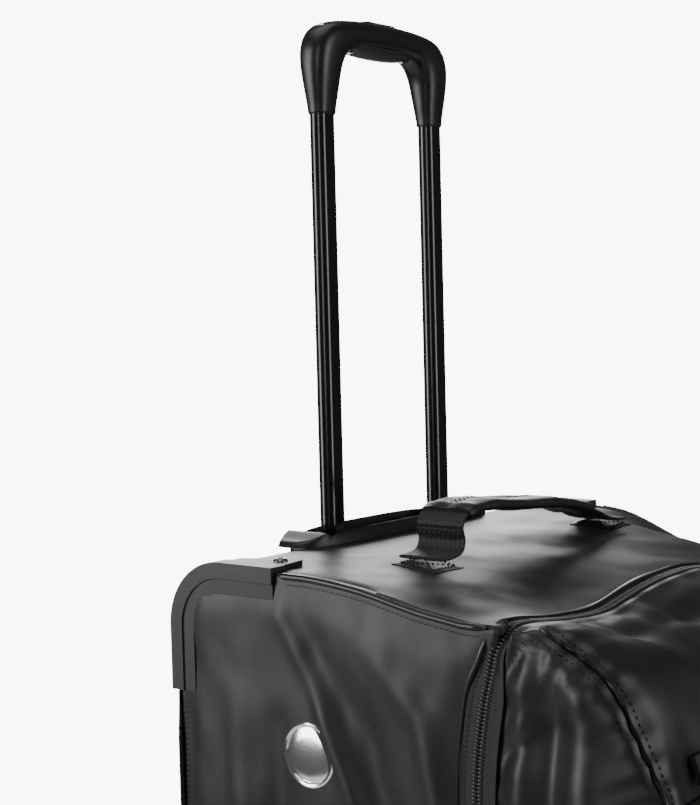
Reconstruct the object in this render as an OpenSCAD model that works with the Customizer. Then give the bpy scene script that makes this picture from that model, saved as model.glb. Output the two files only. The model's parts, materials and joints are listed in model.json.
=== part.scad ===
// Wheeled hockey equipment bag with a telescopic trolley handle.
// The bag stands on its wheels and front feet: +Z up, -Y the puffed zip-open lid, +Y the handle side.
// The origin lies on the floor, in the middle of the bag's width and depth. All sizes are in millimetres.

/* [Bag body] */
// Width of the fabric body across the side panels
body_w = 400; // [340:5:480]
// Height of the level back part of the top panel above the floor
body_top = 798; // [660:1:960]
// Depth of the rear compartment, from the back panel to the main zip
rear_depth = 242; // [200:1:300]
// Depth of the puffed lid, from the main zip to its fullest point
lid_depth = 136; // [100:1:180]
// Thickness of the padded fabric walls
wall = 4; // [2.5:0.5:6]
// Radius of the rounded edge between back and top
corner_r = 42; // [30:1:60]
// Fall of the top panel from its level part to the main zip
top_fall = 22; // [10:1:40]
// Distance that the main zip leans forward at the top
zip_lean = 18; // [0:1:30]
// Height of the lid's hinge line, which is the upper edge of the base tray
base_top = 62; // [50:1:90]

/* [Zips] */
// Width of the closed coil of the main zip
coil_w = 7; // [5:0.5:10]
// Width of each zip tape beyond the middle of its coil
tape_w = 13; // [10:0.5:18]
// Thickness of a zip tape
tape_t = 0.8; // [0.5:0.1:1.2]
// Height of a zip coil above its tape
coil_t = 2; // [1.5:0.1:3]
// Gap between the two halves of an open-ended seam
seam_gap = 0.6; // [0.4:0.1:1]

/* [Trolley handle] */
// Distance between the middles of the two tubes
tube_pitch = 130; // [110:1:150]
// Width of an inner tube across the bag
tube_w = 20; // [16:0.5:24]
// Depth of an inner tube from front to back
tube_d = 13; // [10:0.5:16]
// Wall of the inner and outer tubes
tube_wall = 1.2; // [1:0.1:1.6]
// Distance from the back panel's outer face to the plane of the tubes
tube_inset = 26; // [24:1:34]
// Height of the grip's lower end above the top panel with the handle pulled out
handle_out = 305.6; // [250:0.1:400]
// Travel of the handle from pulled out to pushed in
handle_travel = 360; // [300:1:400]
// Length of an inner tube
tube_len = 510; // [480:1:600]
// Clearance around every part of the handle that slides
slide_gap = 0.3; // [0.2:0.05:0.5]

/* [Grip] */
// Outer width of the grip
grip_w = 174; // [160:1:200]
// Height of the grip from the lower ends of its legs
grip_h = 70.4; // [60:0.1:90]
// Depth of the grip from front to back
grip_d = 30; // [26:1:34]
// Thickness of the grip's top bar
bar_t = 21; // [18:1:28]
// Depth of the tube socket in each leg
socket_d = 30; // [20:1:40]
// Travel of the push button
button_travel = 4; // [3:0.5:5]

/* [Handle housing] */
// Inner width of the well that takes the grip
well_w = 182; // [168:1:210]
// Inner depth of the well from front to back
well_d = 38; // [34:1:42]
// Wall of the well
well_wall = 2.4; // [2:0.1:3]
// Half width of the raised lip around the well
lip_half_w = 118; // [100:1:130]
// Distance that the lip's front edge bulges forward of the tubes
lip_front = 26; // [24:1:40]
// Thickness of the lip
lip_t = 7; // [5:0.5:10]

/* [Corner guards] */
// Thickness of the guard plates
guard_t = 3.4; // [2.5:0.1:4]
// Height of the guard's back leg below the top of the guard
guard_drop = 89; // [70:1:120]
// Length of the guard's top leg from the back of the guard
guard_reach = 92; // [70:1:120]
// Width of the raised rib along the guard's outer edge
rib_w = 11; // [8:0.5:14]
// Width of the lower flange on the side panel
flange_w = 21; // [16:0.5:26]
// Reach of the guard's top plate across the top panel
plate_reach = 30; // [30:1:50]
// Radius of a guard screw's head
screw_head_r = 5; // [4:0.1:6]

/* [Wheels] */
// Radius of the tyre's tread
wheel_r = 46; // [38:1:55]
// Width of the wheel
wheel_w = 28; // [22:1:34]
// Distance that the wheels stand out behind the back panel
wheel_over = 14; // [8:1:20]
// Radius of the axle
axle_r = 4; // [3:0.5:5]
// Running clearance between axle and bush
axle_gap = 0.05; // [0.02:0.01:0.1]
// Thickness of the wheel housing's walls
housing_t = 3; // [2.5:0.5:4]

/* [Carry handle] */
// Width of the carry handle's webbing
web_w = 38; // [30:1:50]
// Thickness of the webbing
web_t = 2.4; // [1.5:0.1:3]
// Distance between the ends of the loose webbing
web_span = 208; // [190:2:250]
// Height of the webbing's arch above the panel
web_rise = 26; // [20:1:40]
// Length of the wrapped hand grip
wrap_len = 150; // [120:2:180]
// Thickness of the hand grip's wrap
wrap_t = 3; // [2:0.5:5]
// Side of the stitched anchor patches
patch_w = 34; // [30:1:40]
// Distance of the carry handle in front of the tubes
web_forward = 119; // [100:1:150]

/* [Hidden] */
$fn = 48;
arc_step = 9;
seam_end_a = 90 - arc_step;
past = 1; // how far a cutting shape reaches past the face it opens
half_w = body_w / 2;
depth_all = rear_depth + lid_depth + wheel_over;
back_y = depth_all / 2 - wheel_over;
zip_y = back_y - rear_depth;
front_y = zip_y - lid_depth;
tube_y = back_y - tube_inset;

// Top panel: level behind level_y, then falling in a curve to the zip.
level_y = back_y - 113;
fall_power = 1.4;
zip_top_y = zip_y - zip_lean;
zip_top_z = body_top - top_fall;
top_steps = 12;
lean_steps = 8;
lean_start_z = body_top - 122;
lean_power = 1.7;

// Lid: hinged on the base tray's front edge, where the zip ends in a quarter ellipse.
pocket_t = 3;
hinge_y = front_y + 27;
hinge_z = base_top;
low_zip_z = base_top + 200;
shoulder_z = body_top - 238;
belly_z = base_top + 140;
shoulder_power = 2.5;
belly_power = 2;
gusset_inset = 1;
gusset_x = half_w - wall + seam_gap / 2;

// Base and wheels.
base_z = 25;
tray_t = 3;
tray_front_y = hinge_y + 1;
chamfer = 12;
board_t = 3;
fit_gap = 0.4;
wheel_y = back_y + wheel_over - wheel_r;
fender_r = wheel_r + 6;
wheel_side_gap = 2.4;
housing_x1 = half_w + guard_t;
wheel_x1 = housing_x1 - housing_t - wheel_side_gap;
wheel_x0 = wheel_x1 - wheel_w;
housing_x0 = wheel_x0 - wheel_side_gap - housing_t;
hub_r = wheel_r - 10;
hub_boss_r = 11;
hub_web_t = 10;
bush_r = axle_r + 2.5;
axle_head_r = 7;
axle_head_t = 1.6;
spokes = 6;
foot_w = 40;
foot_d = 44;
foot_r = 8;
foot_in = 50;
fender_low_z = base_z - 5;
hub_rim_t = 4;
spoke_w = 6;
tread_in = 8;
tread_bevel = 3;
tread_drop = 1;

// Handle.
grip_z = body_top + handle_out;
tube_top_z = grip_z + socket_d;
tube_bottom_z = tube_top_z - tube_len;
collar_wall = 2 - slide_gap;
outer_in_w = tube_w + 4;
outer_in_d = tube_d + 4;
well_floor_t = 4;
well_r = 6;
well_rest = 0.6;
well_floor_z = grip_z - handle_travel - well_rest;
lip_z = body_top + 2;
lip_end = 6;
lip_cut = 8;
lip_power = 0.6;
outer_top_z = well_floor_z - well_floor_t;
outer_bottom_z = base_z + 45;
collar_h = 24;
bush_h = 30;
bush_below = 8;
pin_r = 2;
pin_len = 11;
pin_z = tube_bottom_z + 12;
rod_r = 1.6;
rod_y = tube_y - 3.2;
bracket_h = 30;
bracket_t = 4;
bracket_r = 6;
rod_above = 6;
rod_in_yoke = 0.5;

// Grip.
grip_corner_r = 34;
grip_leg_in = 45;
grip_inner_r = 14;
channel_w = tube_pitch + 10;
channel_d = 16;
channel_top_z = grip_z + grip_h - 6;
bar_low_z = grip_z + grip_h - bar_t;
cover_t = 3;
yoke_t = 3;
yoke_z = channel_top_z - yoke_t - 1;
rod_hole_r = rod_r + 0.8;
button_w = 46;
button_d = 11;
button_proud = 2.6;
button_gap = 0.4;
cover_end = 6;
rod_web = 3;
spring_r = 3;
spring_wire_r = 0.45;
spring_turns = 4;
spring_sides = 8;
spring_steps = 12;
screw_x = 34;
grip_screw_r = 1.6;
grip_screw_len = cover_t + 3;
grip_screw_head_r = 3.6;

// Carry handle.
web_y = tube_y - web_forward;
patch_t = 1.6;
sew_gap = 0.1;
patch_gap = 8;
web_lift = 0.6;
web_base_z = top_z(web_y + web_w / 2) + patch_t + web_lift;
patch_x = web_span / 2 + patch_gap;
web_power = 2.4;
web_steps = 20;
web_step = web_span / 2 / web_steps;
wrap_steps = round(wrap_len / 2 / web_step);

// Guards.
guard_y = back_y + guard_t;
guard_z = body_top + guard_t;
guard_r = corner_r + guard_t;
flange_t = 2.2;
tip_r = 7;
tip_slant = 0.6;
guard_screw_x = half_w - 22;
guard_screw_y = guard_y - guard_reach + 14;
screw_r = 2;
screw_head_t = 2.2;
screw_len = 14;

// Zip sliders and their pulls.
slider_w = 12;
slider_l = 15;
slider_t = 3;
slider_gap = 0.4;
ear_l = 4;
ear_h = 3.6;
ear_t = 1.2;
ear_gap = 6;
pivot_h = 2;
pivot_r = 0.8;
pivot_gap = 0.06;
pull_l = 30;
pull_t = 1.8;
pull_eye_r = 1.6;
pull_side_gap = 0.5;
slider_park_z = 430;
slider_spacing = 17;
pocket_angle = 12 * arc_step / 2;
pocket_inset = 34;
pocket_zip_half = half_w - 48;
pocket_zip_w = 12;
pocket_zip_lift = 1;
pocket_slider_x = 110;

// Runners, piping and badge.
runner_w = 22;
runner_t = 8;
runner_x = 140;
runner_low_z = base_top + 52;
runner_top_z = body_top - 160;
runner_r = 2.5;
piping_w = 5;
piping_t = 2.4;
trim_gap = 1;
badge_r = 21;
badge_t = 1.4;
badge_y = back_y - 118;
badge_z = body_top - 112;

// ---- Curves, each a list of [y, z] points ----

// Height of the top panel's outer face at depth y.
function top_z(y) = body_top - top_fall * pow(max(0, level_y - y) / (level_y - zip_top_y), fall_power);

// Top panel's outer face from the back edge to the zip, lowered by d.
function top_curve(d) = concat(
  [for (a = [0 : arc_step : 90])
    [back_y - corner_r + (corner_r - d) * cos(a), body_top - corner_r + (corner_r - d) * sin(a)]],
  [for (i = [0 : top_steps])
    let (y = level_y - (level_y - zip_top_y - seam_gap / 2) * i / top_steps) [y, top_z(y) - d]]
);

// Line of the main zip from the hinge up to the top panel, moved towards the lid by d.
function seam_curve(d, last = 90) = concat(
  [for (a = [last : -arc_step : 0])
    [hinge_y + (zip_y - hinge_y - d) * cos(a), low_zip_z - (low_zip_z - hinge_z - d) * sin(a)]],
  [for (i = [0 : lean_steps]) let (t = i / lean_steps)
    [zip_y - d - zip_lean * pow(t, lean_power), lean_start_z + (zip_top_z - lean_start_z) * t]]
);

// One quarter of a superellipse, from its top (a = 0) to its side (a = 90).
function quarter(a, w, h, n) = [w * pow(sin(a), 2 / n), h * pow(cos(a), 2 / n)];

// A point on the lid's outer face: a = 0 at the zip, 90 at the shoulder; grown by d.
function shoulder(a, d) =
  let (
    y0 = zip_top_y - seam_gap / 2,
    q = quarter(a, y0 - front_y - pocket_t + d, zip_top_z - shoulder_z + d, shoulder_power)
  ) [y0 - q[0], shoulder_z + q[1]];

// A point on the lid's lower face: a = 90 at the belly, 0 at the hinge.
function belly(a, d) =
  let (q = quarter(a, hinge_y - front_y - pocket_t + d, belly_z - hinge_z - seam_gap / 2, belly_power))
  [hinge_y - q[0], belly_z - q[1]];

function reversed(list) = [for (i = [len(list) - 1 : -1 : 0]) list[i]];

// The lid's face from the zip to the hinge, grown by d.
function lid_curve(d) = concat(
  [for (a = [0 : arc_step / 2 : 90]) shoulder(a, d)],
  [for (a = [90 : -arc_step : 0]) belly(a, d)]
);

// The part of that face under the front pocket, grown by d.
function pocket_curve(d) = concat(
  [for (a = [pocket_angle + arc_step / 2 : arc_step / 2 : 90]) shoulder(a, d)],
  [for (a = [90 : -arc_step : 45]) belly(a, d)]
);

// ---- Helpers ----

// Extrudes a [y, z] outline along X from x0 to x1.
module across(x0, x1) {
  translate([x0, 0, 0]) rotate([90, 0, 90]) linear_extrude(x1 - x0) children();
}

// A strip between two curves.
module strip(outer, inner) {
  polygon(concat(outer, reversed(inner)));
}

// A strip that follows the top panel from depth y0 to y1, between heights lo and hi above it.
module top_strip(y0, y1, lo, hi) {
  ys = [for (i = [0 : 6]) y0 + (y1 - y0) * i / 6];
  strip([for (y = ys) [y, top_z(y) + hi]], [for (y = ys) [y, top_z(y) + lo]]);
}

// Places a right-hand piece on the side s: 1 right, -1 left.
module on_side(s) {
  if (s < 0) mirror([1, 0, 0]) children();
  else children();
}

// A stadium w long and d deep around the origin.
module stadium(w, d) {
  square([w - d, d], center = true);
  for (s = [-1, 1]) translate([s * (w - d) / 2, 0]) circle(d / 2);
}

// A rectangle with round corners around the origin.
module round_rect(w, d, r) {
  square([w, d - 2 * r], center = true);
  square([w - 2 * r, d], center = true);
  for (sx = [-1, 1]) for (sy = [-1, 1]) translate([sx * (w / 2 - r), sy * (d / 2 - r)]) circle(r);
}

// Space around each wheel that the fabric and the tray leave free.
module wheel_wells() {
  for (s = [-1, 1]) on_side(s)
    translate([housing_x0 - fit_gap, wheel_y, wheel_r]) rotate([0, 90, 0])
      cylinder(r = fender_r + fit_gap, h = body_w);
}

// A tube or rod standing at x, in the plane of the handle's tubes.
module upright(x, z0, z1) {
  translate([x, tube_y, z0]) linear_extrude(z1 - z0) children();
}

// ---- Bag body ----

module back_panel() {
  color("#1f1e20") difference() {
    translate([-half_w + wall, back_y - wall, base_top])
      cube([body_w - 2 * wall, wall, body_top - corner_r - base_top]);
    wheel_wells();
  }
}

module back_board() {
  color("#2b2b2e") difference() {
    translate([-half_w + wall, tube_y - well_d / 2 - well_wall - board_t - fit_gap, base_z + tray_t + board_t])
      cube([body_w - 2 * wall, board_t, body_top - wall - fit_gap - base_z - tray_t - board_t]);
    wheel_wells();
    translate([-half_w, 0, base_z]) cube([wall + tray_t, back_y, base_top - base_z]);
    translate([half_w - wall - tray_t, 0, base_z]) cube([wall + tray_t, back_y, base_top - base_z]);
  }
}

module side_panel() {
  color("#232224") difference() {
    across(half_w - wall, half_w) polygon(concat(
      [[back_y, base_top]],
      top_curve(0),
      [for (p = reversed(seam_curve(-seam_gap / 2))) [p[0], max(p[1], base_top)]]
    ));
    wheel_wells();
  }
}
module side_panel_left() { on_side(-1) side_panel(); }
module side_panel_right() { on_side(1) side_panel(); }

module top_panel() {
  color("#232224") difference() {
    across(-half_w + wall, half_w - wall) strip(top_curve(0), top_curve(wall));
    translate([0, tube_y, body_top])
      cube([well_w + 2 * well_wall + fit_gap, well_d + 2 * well_wall + fit_gap, 4 * corner_r], center = true);
    for (s = [-1, 1]) translate([s * guard_screw_x, guard_screw_y, body_top - 2 * wall])
      cylinder(r = screw_r, h = 3 * wall);
  }
}

module base_tray() {
  color("#19191b") difference() {
    across(-half_w, half_w) polygon([
      [tray_front_y + chamfer, base_z], [back_y - chamfer, base_z], [back_y, base_z + chamfer],
      [back_y, base_top], [tray_front_y, base_top], [tray_front_y, base_z + chamfer]
    ]);
    across(-half_w + tray_t, half_w - tray_t) polygon([
      [tray_front_y + chamfer, base_z + tray_t], [back_y - chamfer, base_z + tray_t],
      [back_y - tray_t, base_z + chamfer], [back_y - tray_t, base_top + past],
      [tray_front_y + tray_t, base_top + past], [tray_front_y + tray_t, base_z + chamfer]
    ]);
    wheel_wells();
  }
}

module base_board() {
  color("#3a3a3c") difference() {
    translate([-half_w + tray_t + fit_gap, tray_front_y + chamfer, base_z + tray_t])
      cube([body_w - 2 * (tray_t + fit_gap), back_y - tray_front_y - 2 * chamfer, board_t]);
    wheel_wells();
  }
}

module front_feet() {
  color("#101012") for (s = [-1, 1])
    translate([s * (half_w - foot_in), tray_front_y + chamfer + foot_d / 2, 0])
      linear_extrude(base_z) round_rect(foot_w, foot_d, foot_r);
}

module back_runners() {
  color("#151517") for (s = [-1, 1]) translate([s * runner_x, back_y + runner_t / 2, runner_low_z])
    linear_extrude(runner_top_z - runner_low_z) round_rect(runner_w, runner_t, runner_r);
}

// Round edge trim along the top edge of a side panel and down its back edge.
module piping() {
  guard_end_y = guard_y - guard_reach;
  run = guard_end_y - zip_top_y - tape_w - 2 * trim_gap;
  ys = [for (i = [0 : 10]) guard_end_y - trim_gap - run * i / 10];
  low_z = wheel_r + fender_r + 2 * trim_gap;
  color("#0c0c0d") {
    across(half_w, half_w + piping_t)
      strip([for (y = ys) [y, top_z(y)]], [for (y = ys) [y, top_z(y) - piping_w]]);
    translate([half_w, back_y - piping_w, low_z])
      cube([piping_t, piping_w, guard_z - guard_drop - trim_gap - low_z]);
  }
}
module piping_left() { on_side(-1) piping(); }
module piping_right() { on_side(1) piping(); }

// Tape half on the rear compartment: up both sides and across the top panel.
module zip_tape_body() {
  color("#3d3c40") {
    for (s = [-1, 1]) on_side(s) across(half_w, half_w + tape_t)
      strip(seam_curve(-seam_gap / 2, seam_end_a), seam_curve(-tape_w, seam_end_a));
    across(-half_w - tape_t, half_w + tape_t)
      top_strip(zip_top_y + seam_gap / 2, zip_top_y + tape_w, 0, tape_t);
  }
}

module zip_coil_body() {
  color("#8d8d90") {
    for (s = [-1, 1]) on_side(s)
      across(half_w + tape_t, half_w + tape_t + coil_t)
        strip(seam_curve(-seam_gap / 2, seam_end_a), seam_curve(-coil_w / 2, seam_end_a));
    across(-half_w - tape_t, half_w + tape_t)
      top_strip(zip_top_y + seam_gap / 2, zip_top_y + coil_w / 2, tape_t, tape_t + coil_t);
  }
}

module anchor_patches() {
  color("#1c1c1e") for (s = [-1, 1]) on_side(s) across(patch_x - patch_w / 2, patch_x + patch_w / 2)
    top_strip(web_y - patch_w / 2, web_y + patch_w / 2, sew_gap, sew_gap + patch_t);
}

// Plain blank badge on the left side panel.
module side_badge() {
  color("#c9c9cc") translate([-half_w - badge_t, badge_y, badge_z]) rotate([0, 90, 0])
    cylinder(r = badge_r, h = badge_t);
}

// ---- Wheels ----

module cheek() {
  intersection() {
    translate([wheel_y, wheel_r]) circle(fender_r);
    translate([wheel_y - fender_r, fender_low_z]) square([fender_r + wheel_r - chamfer + 4 * past, 2 * fender_r]);
  }
}

module wheel_housing() {
  color("#151517") difference() {
    union() {
      across(housing_x0, housing_x0 + housing_t) cheek();
      across(housing_x1 - housing_t, housing_x1) cheek();
      across(housing_x0, housing_x1) difference() {
        cheek();
        translate([wheel_y, wheel_r]) circle(fender_r - housing_t);
        translate([wheel_y, 0]) square([2 * fender_r, wheel_r]);
      }
    }
    translate([0, wheel_y, wheel_r]) rotate([0, 90, 0]) cylinder(r = axle_r, h = body_w);
  }
}
module wheel_housing_left() { on_side(-1) wheel_housing(); }
module wheel_housing_right() { on_side(1) wheel_housing(); }

module wheel_axles() {
  color("#9a9a9e") for (s = [-1, 1]) on_side(s) translate([0, wheel_y, wheel_r]) rotate([0, 90, 0]) {
    translate([0, 0, housing_x0]) cylinder(r = axle_r, h = housing_x1 - housing_x0);
    translate([0, 0, housing_x1]) cylinder(r = axle_head_r, h = axle_head_t);
    translate([0, 0, housing_x0 - axle_head_t]) cylinder(r = axle_head_r, h = axle_head_t);
  }
}

// Spoked wheel centre, turned on the bush.
module wheel_hub() {
  color("#2e2e31") translate([wheel_x0, wheel_y, wheel_r]) rotate([0, 90, 0]) {
    rotate_extrude($fn = 96) {
      translate([bush_r, 0]) square([hub_boss_r - bush_r, wheel_w]);
      translate([hub_r - hub_rim_t, 0]) square([hub_rim_t, wheel_w]);
    }
    for (i = [0 : spokes - 1]) rotate([0, 0, i * 360 / spokes])
      translate([hub_boss_r - past, -spoke_w / 2, (wheel_w - hub_web_t) / 2])
        cube([hub_r - hub_boss_r - 2 * past, spoke_w, hub_web_t]);
  }
}
module wheel_hub_left() { on_side(-1) wheel_hub(); }
module wheel_hub_right() { on_side(1) wheel_hub(); }

module tyre() {
  color("#0e0e0f") translate([wheel_x0, wheel_y, wheel_r]) rotate([0, 90, 0]) rotate_extrude($fn = 96)
    polygon([
      [hub_r, 0], [wheel_r - tread_drop - tread_bevel, 0], [wheel_r - tread_drop, tread_bevel],
      [wheel_r, tread_in], [wheel_r, wheel_w - tread_in], [wheel_r - tread_drop, wheel_w - tread_bevel],
      [wheel_r - tread_drop - tread_bevel, wheel_w], [hub_r, wheel_w]
    ]);
}
module tyre_left() { on_side(-1) tyre(); }
module tyre_right() { on_side(1) tyre(); }

module wheel_bush() {
  color("#c8c4ba") translate([wheel_x0, wheel_y, wheel_r]) rotate([0, 90, 0]) difference() {
    cylinder(r = bush_r, h = wheel_w);
    translate([0, 0, -past]) cylinder(r = axle_r + axle_gap, h = wheel_w + 2 * past);
  }
}
module wheel_bush_left() { on_side(-1) wheel_bush(); }
module wheel_bush_right() { on_side(1) wheel_bush(); }

// ---- Corner guards ----

// Region under the guard's outer contour, pulled in by d, down to the guard's ends.
module guard_region(d, y0, z0) {
  intersection() {
    translate([y0, z0]) square([guard_y - y0, guard_z - z0]);
    union() {
      translate([y0, z0]) square([guard_y - guard_r - y0, guard_z - d - z0]);
      translate([y0, z0]) square([guard_y - d - y0, guard_z - guard_r - z0]);
      translate([guard_y - guard_r, guard_z - guard_r]) circle(guard_r - d);
    }
  }
}

// L-shaped band of width w along the guard's outer contour.
module guard_band(w) {
  y0 = guard_y - guard_reach;
  z0 = guard_z - guard_drop;
  difference() {
    guard_region(0, y0, z0);
    guard_region(w, y0 - past, z0 - past);
  }
}

module corner_guard() {
  y0 = guard_y - guard_reach;
  plate_x = half_w - plate_reach;
  color("#2a2a2c") difference() {
    union() {
      across(half_w, half_w + guard_t) guard_band(rib_w);
      across(half_w, half_w + flange_t) guard_band(flange_w);
      across(half_w - rib_w, half_w + guard_t) guard_band(guard_t);
      translate([0, 0, body_top]) linear_extrude(guard_t) {
        polygon([
          [half_w, y0], [half_w, guard_y - guard_r], [plate_x + rib_w, guard_y - guard_r],
          [plate_x - tip_slant * tip_r, y0 + 2 * tip_r], [plate_x, y0 + tip_slant * tip_r]
        ]);
        translate([plate_x, y0 + (1 + tip_slant) * tip_r]) circle(tip_r);
      }
    }
    translate([guard_screw_x, guard_screw_y, body_top - past]) cylinder(r = screw_r, h = guard_t + 2 * past);
  }
}
module corner_guard_left() { on_side(-1) corner_guard(); }
module corner_guard_right() { on_side(1) corner_guard(); }

module guard_screws() {
  color("#7c7c80") for (s = [-1, 1]) translate([s * guard_screw_x, guard_screw_y, guard_z]) {
    cylinder(r = screw_head_r, h = screw_head_t);
    translate([0, 0, -screw_len]) cylinder(r = screw_r, h = screw_len);
  }
}

// ---- Handle housing and fixed tubes ----

// Lip outline: a flat back edge and a front edge that bulges forward.
module lip_outline() {
  back_edge = well_d / 2 + well_wall + 1;
  polygon(concat(
    [for (a = [0 : arc_step : 180])
      [lip_half_w * cos(a), -lip_end - (lip_front - lip_end) * pow(sin(a), lip_power)]],
    [[-lip_half_w, back_edge - lip_cut], [-lip_half_w + lip_cut, back_edge],
     [lip_half_w - lip_cut, back_edge], [lip_half_w, back_edge - lip_cut]]
  ));
}

module handle_housing() {
  color("#242426") difference() {
    union() {
      upright(0, lip_z, lip_z + lip_t) lip_outline();
      upright(0, outer_top_z, lip_z)
        round_rect(well_w + 2 * well_wall, well_d + 2 * well_wall, well_r + well_wall);
    }
    upright(0, well_floor_z, lip_z + lip_t + past) round_rect(well_w, well_d, well_r);
    for (s = [-1, 1]) upright(s * tube_pitch / 2, outer_top_z - past, well_floor_z + past)
      stadium(tube_w + 2 * slide_gap, tube_d + 2 * slide_gap);
  }
}

module outer_tube() {
  color("#4a4a4d") difference() {
    upright(tube_pitch / 2, outer_bottom_z, outer_top_z)
      stadium(outer_in_w + 2 * tube_wall, outer_in_d + 2 * tube_wall);
    upright(tube_pitch / 2, outer_bottom_z - past, outer_top_z + past) stadium(outer_in_w, outer_in_d);
    // The lock pins enter the upper holes with the handle out and the lower ones with it down.
    for (z = [pin_z, pin_z - handle_travel])
      translate([tube_pitch / 2, tube_y, z]) rotate([0, 90, 0]) cylinder(r = pin_r + slide_gap, h = tube_w);
  }
}
module outer_tube_left() { on_side(-1) outer_tube(); }
module outer_tube_right() { on_side(1) outer_tube(); }

module guide_collars() {
  color("#d0cfca") for (s = [-1, 1]) difference() {
    upright(s * tube_pitch / 2, outer_top_z - collar_h, outer_top_z) stadium(outer_in_w, outer_in_d);
    upright(s * tube_pitch / 2, outer_top_z - collar_h - past, outer_top_z + past)
      stadium(tube_w + 2 * slide_gap, tube_d + 2 * slide_gap);
  }
}

module tube_bracket() {
  w = outer_in_w + 2 * tube_wall;
  d = outer_in_d + 2 * tube_wall;
  z0 = outer_bottom_z - bracket_t;
  color("#38383b") difference() {
    upright(0, z0, z0 + bracket_h) round_rect(tube_pitch + w + 2 * bracket_t, d + 2 * bracket_t, bracket_r);
    for (s = [-1, 1]) upright(s * tube_pitch / 2, outer_bottom_z, z0 + bracket_h + past) stadium(w, d);
    upright(0, outer_bottom_z, z0 + bracket_h + past)
      square([tube_pitch - w - 2 * bracket_t, d], center = true);
  }
}

// ---- Sliding handle ----

module inner_tube() {
  color("#1a1a1c") difference() {
    upright(tube_pitch / 2, tube_bottom_z, tube_top_z) stadium(tube_w, tube_d);
    upright(tube_pitch / 2, tube_bottom_z - past, tube_top_z + past)
      stadium(tube_w - 2 * tube_wall, tube_d - 2 * tube_wall);
    translate([tube_pitch / 2, tube_y, pin_z]) rotate([0, 90, 0]) cylinder(r = pin_r + slide_gap, h = tube_w);
  }
}
module inner_tube_left() { on_side(-1) inner_tube(); }
module inner_tube_right() { on_side(1) inner_tube(); }

module tube_bushes() {
  color("#d0cfca") for (s = [-1, 1]) on_side(s) difference() {
    upright(tube_pitch / 2, tube_bottom_z - bush_below, tube_bottom_z + bush_h)
      stadium(outer_in_w - 2 * slide_gap, outer_in_d - 2 * slide_gap);
    upright(tube_pitch / 2, tube_bottom_z, tube_bottom_z + bush_h + past) stadium(tube_w, tube_d);
    translate([tube_pitch / 2, tube_y, pin_z]) rotate([0, 90, 0]) cylinder(r = pin_r + slide_gap, h = tube_w);
  }
}

// Front view of the grip: a round-cornered bar on two legs.
module grip_outline() {
  difference() {
    union() {
      translate([-grip_w / 2, 0]) square([grip_w, grip_h - grip_corner_r]);
      translate([-grip_w / 2 + grip_corner_r, 0]) square([grip_w - 2 * grip_corner_r, grip_h]);
      for (s = [-1, 1]) translate([s * (grip_w / 2 - grip_corner_r), grip_h - grip_corner_r])
        circle(grip_corner_r);
    }
    translate([-grip_leg_in, -past]) square([2 * grip_leg_in, grip_h - bar_t - grip_inner_r + past]);
    translate([-grip_leg_in + grip_inner_r, -past])
      square([2 * (grip_leg_in - grip_inner_r), grip_h - bar_t + past]);
    for (s = [-1, 1]) translate([s * (grip_leg_in - grip_inner_r), grip_h - bar_t - grip_inner_r])
      circle(grip_inner_r);
  }
}

module grip() {
  color("#202022") difference() {
    translate([0, tube_y + grip_d / 2, grip_z]) rotate([90, 0, 0]) linear_extrude(grip_d) grip_outline();
    for (s = [-1, 1]) {
      upright(s * tube_pitch / 2, grip_z - past, tube_top_z) stadium(tube_w, tube_d);
      translate([s * tube_pitch / 2, rod_y, tube_top_z - past]) cylinder(r = rod_hole_r, h = grip_h);
    }
    translate([-channel_w / 2, tube_y - channel_d / 2, yoke_z - button_travel - slide_gap])
      cube([channel_w, channel_d, channel_top_z - yoke_z + button_travel + slide_gap]);
    translate([-grip_leg_in + grip_inner_r, tube_y - channel_d / 2, bar_low_z - past])
      cube([2 * (grip_leg_in - grip_inner_r), channel_d, channel_top_z - bar_low_z]);
    translate([-screw_x - cover_end, tube_y - channel_d / 2, bar_low_z - past])
      cube([2 * (screw_x + cover_end), channel_d, cover_t + past]);
    upright(0, channel_top_z - past, grip_z + grip_h + past)
      stadium(button_w + 2 * button_gap, button_d + 2 * button_gap);
    for (s = [-1, 1]) translate([s * screw_x, tube_y, bar_low_z]) cylinder(r = grip_screw_r, h = grip_screw_len);
  }
}

module grip_cover() {
  color("#1a1a1b") difference() {
    translate([-screw_x - cover_end, tube_y - channel_d / 2, bar_low_z])
      cube([2 * (screw_x + cover_end), channel_d, cover_t]);
    for (s = [-1, 1]) translate([s * screw_x, tube_y, bar_low_z - past]) {
      cylinder(r = grip_screw_r, h = cover_t + 2 * past);
      cylinder(r = grip_screw_head_r, h = past + cover_t / 2);
    }
  }
}

module grip_screws() {
  color("#8a8a8e") for (s = [-1, 1]) translate([s * screw_x, tube_y, bar_low_z]) {
    cylinder(r = grip_screw_head_r, h = cover_t / 2);
    cylinder(r = grip_screw_r, h = grip_screw_len);
  }
}

// Long oval button that stands on the yoke and comes out through the bar's top.
module push_button() {
  color("#0f0f10") {
    upright(0, yoke_z + yoke_t, grip_z + grip_h + button_proud) stadium(button_w, button_d);
  }
}

// Yoke under the button and the two rods that reach down the tubes to the lock pins.
module release_rods() {
  color("#a8a8ac") {
    translate([-tube_pitch / 2 - rod_r, rod_y - rod_r, yoke_z])
      cube([tube_pitch + 2 * rod_r, 2 * rod_r + rod_web, yoke_t]);
    for (s = [-1, 1]) translate([s * tube_pitch / 2, rod_y, pin_z + pin_r + rod_above])
      cylinder(r = rod_r, h = yoke_z - pin_z - pin_r - rod_above + rod_in_yoke);
  }
}

// Coil spring between the grip's cover and the yoke.
function coil_ring(turn, z) = [for (i = [0 : spring_sides - 1])
  let (a = 360 * i / spring_sides, r = spring_r + spring_wire_r * cos(a))
  [r * cos(360 * turn), r * sin(360 * turn), z + spring_wire_r * sin(a)]];

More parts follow.
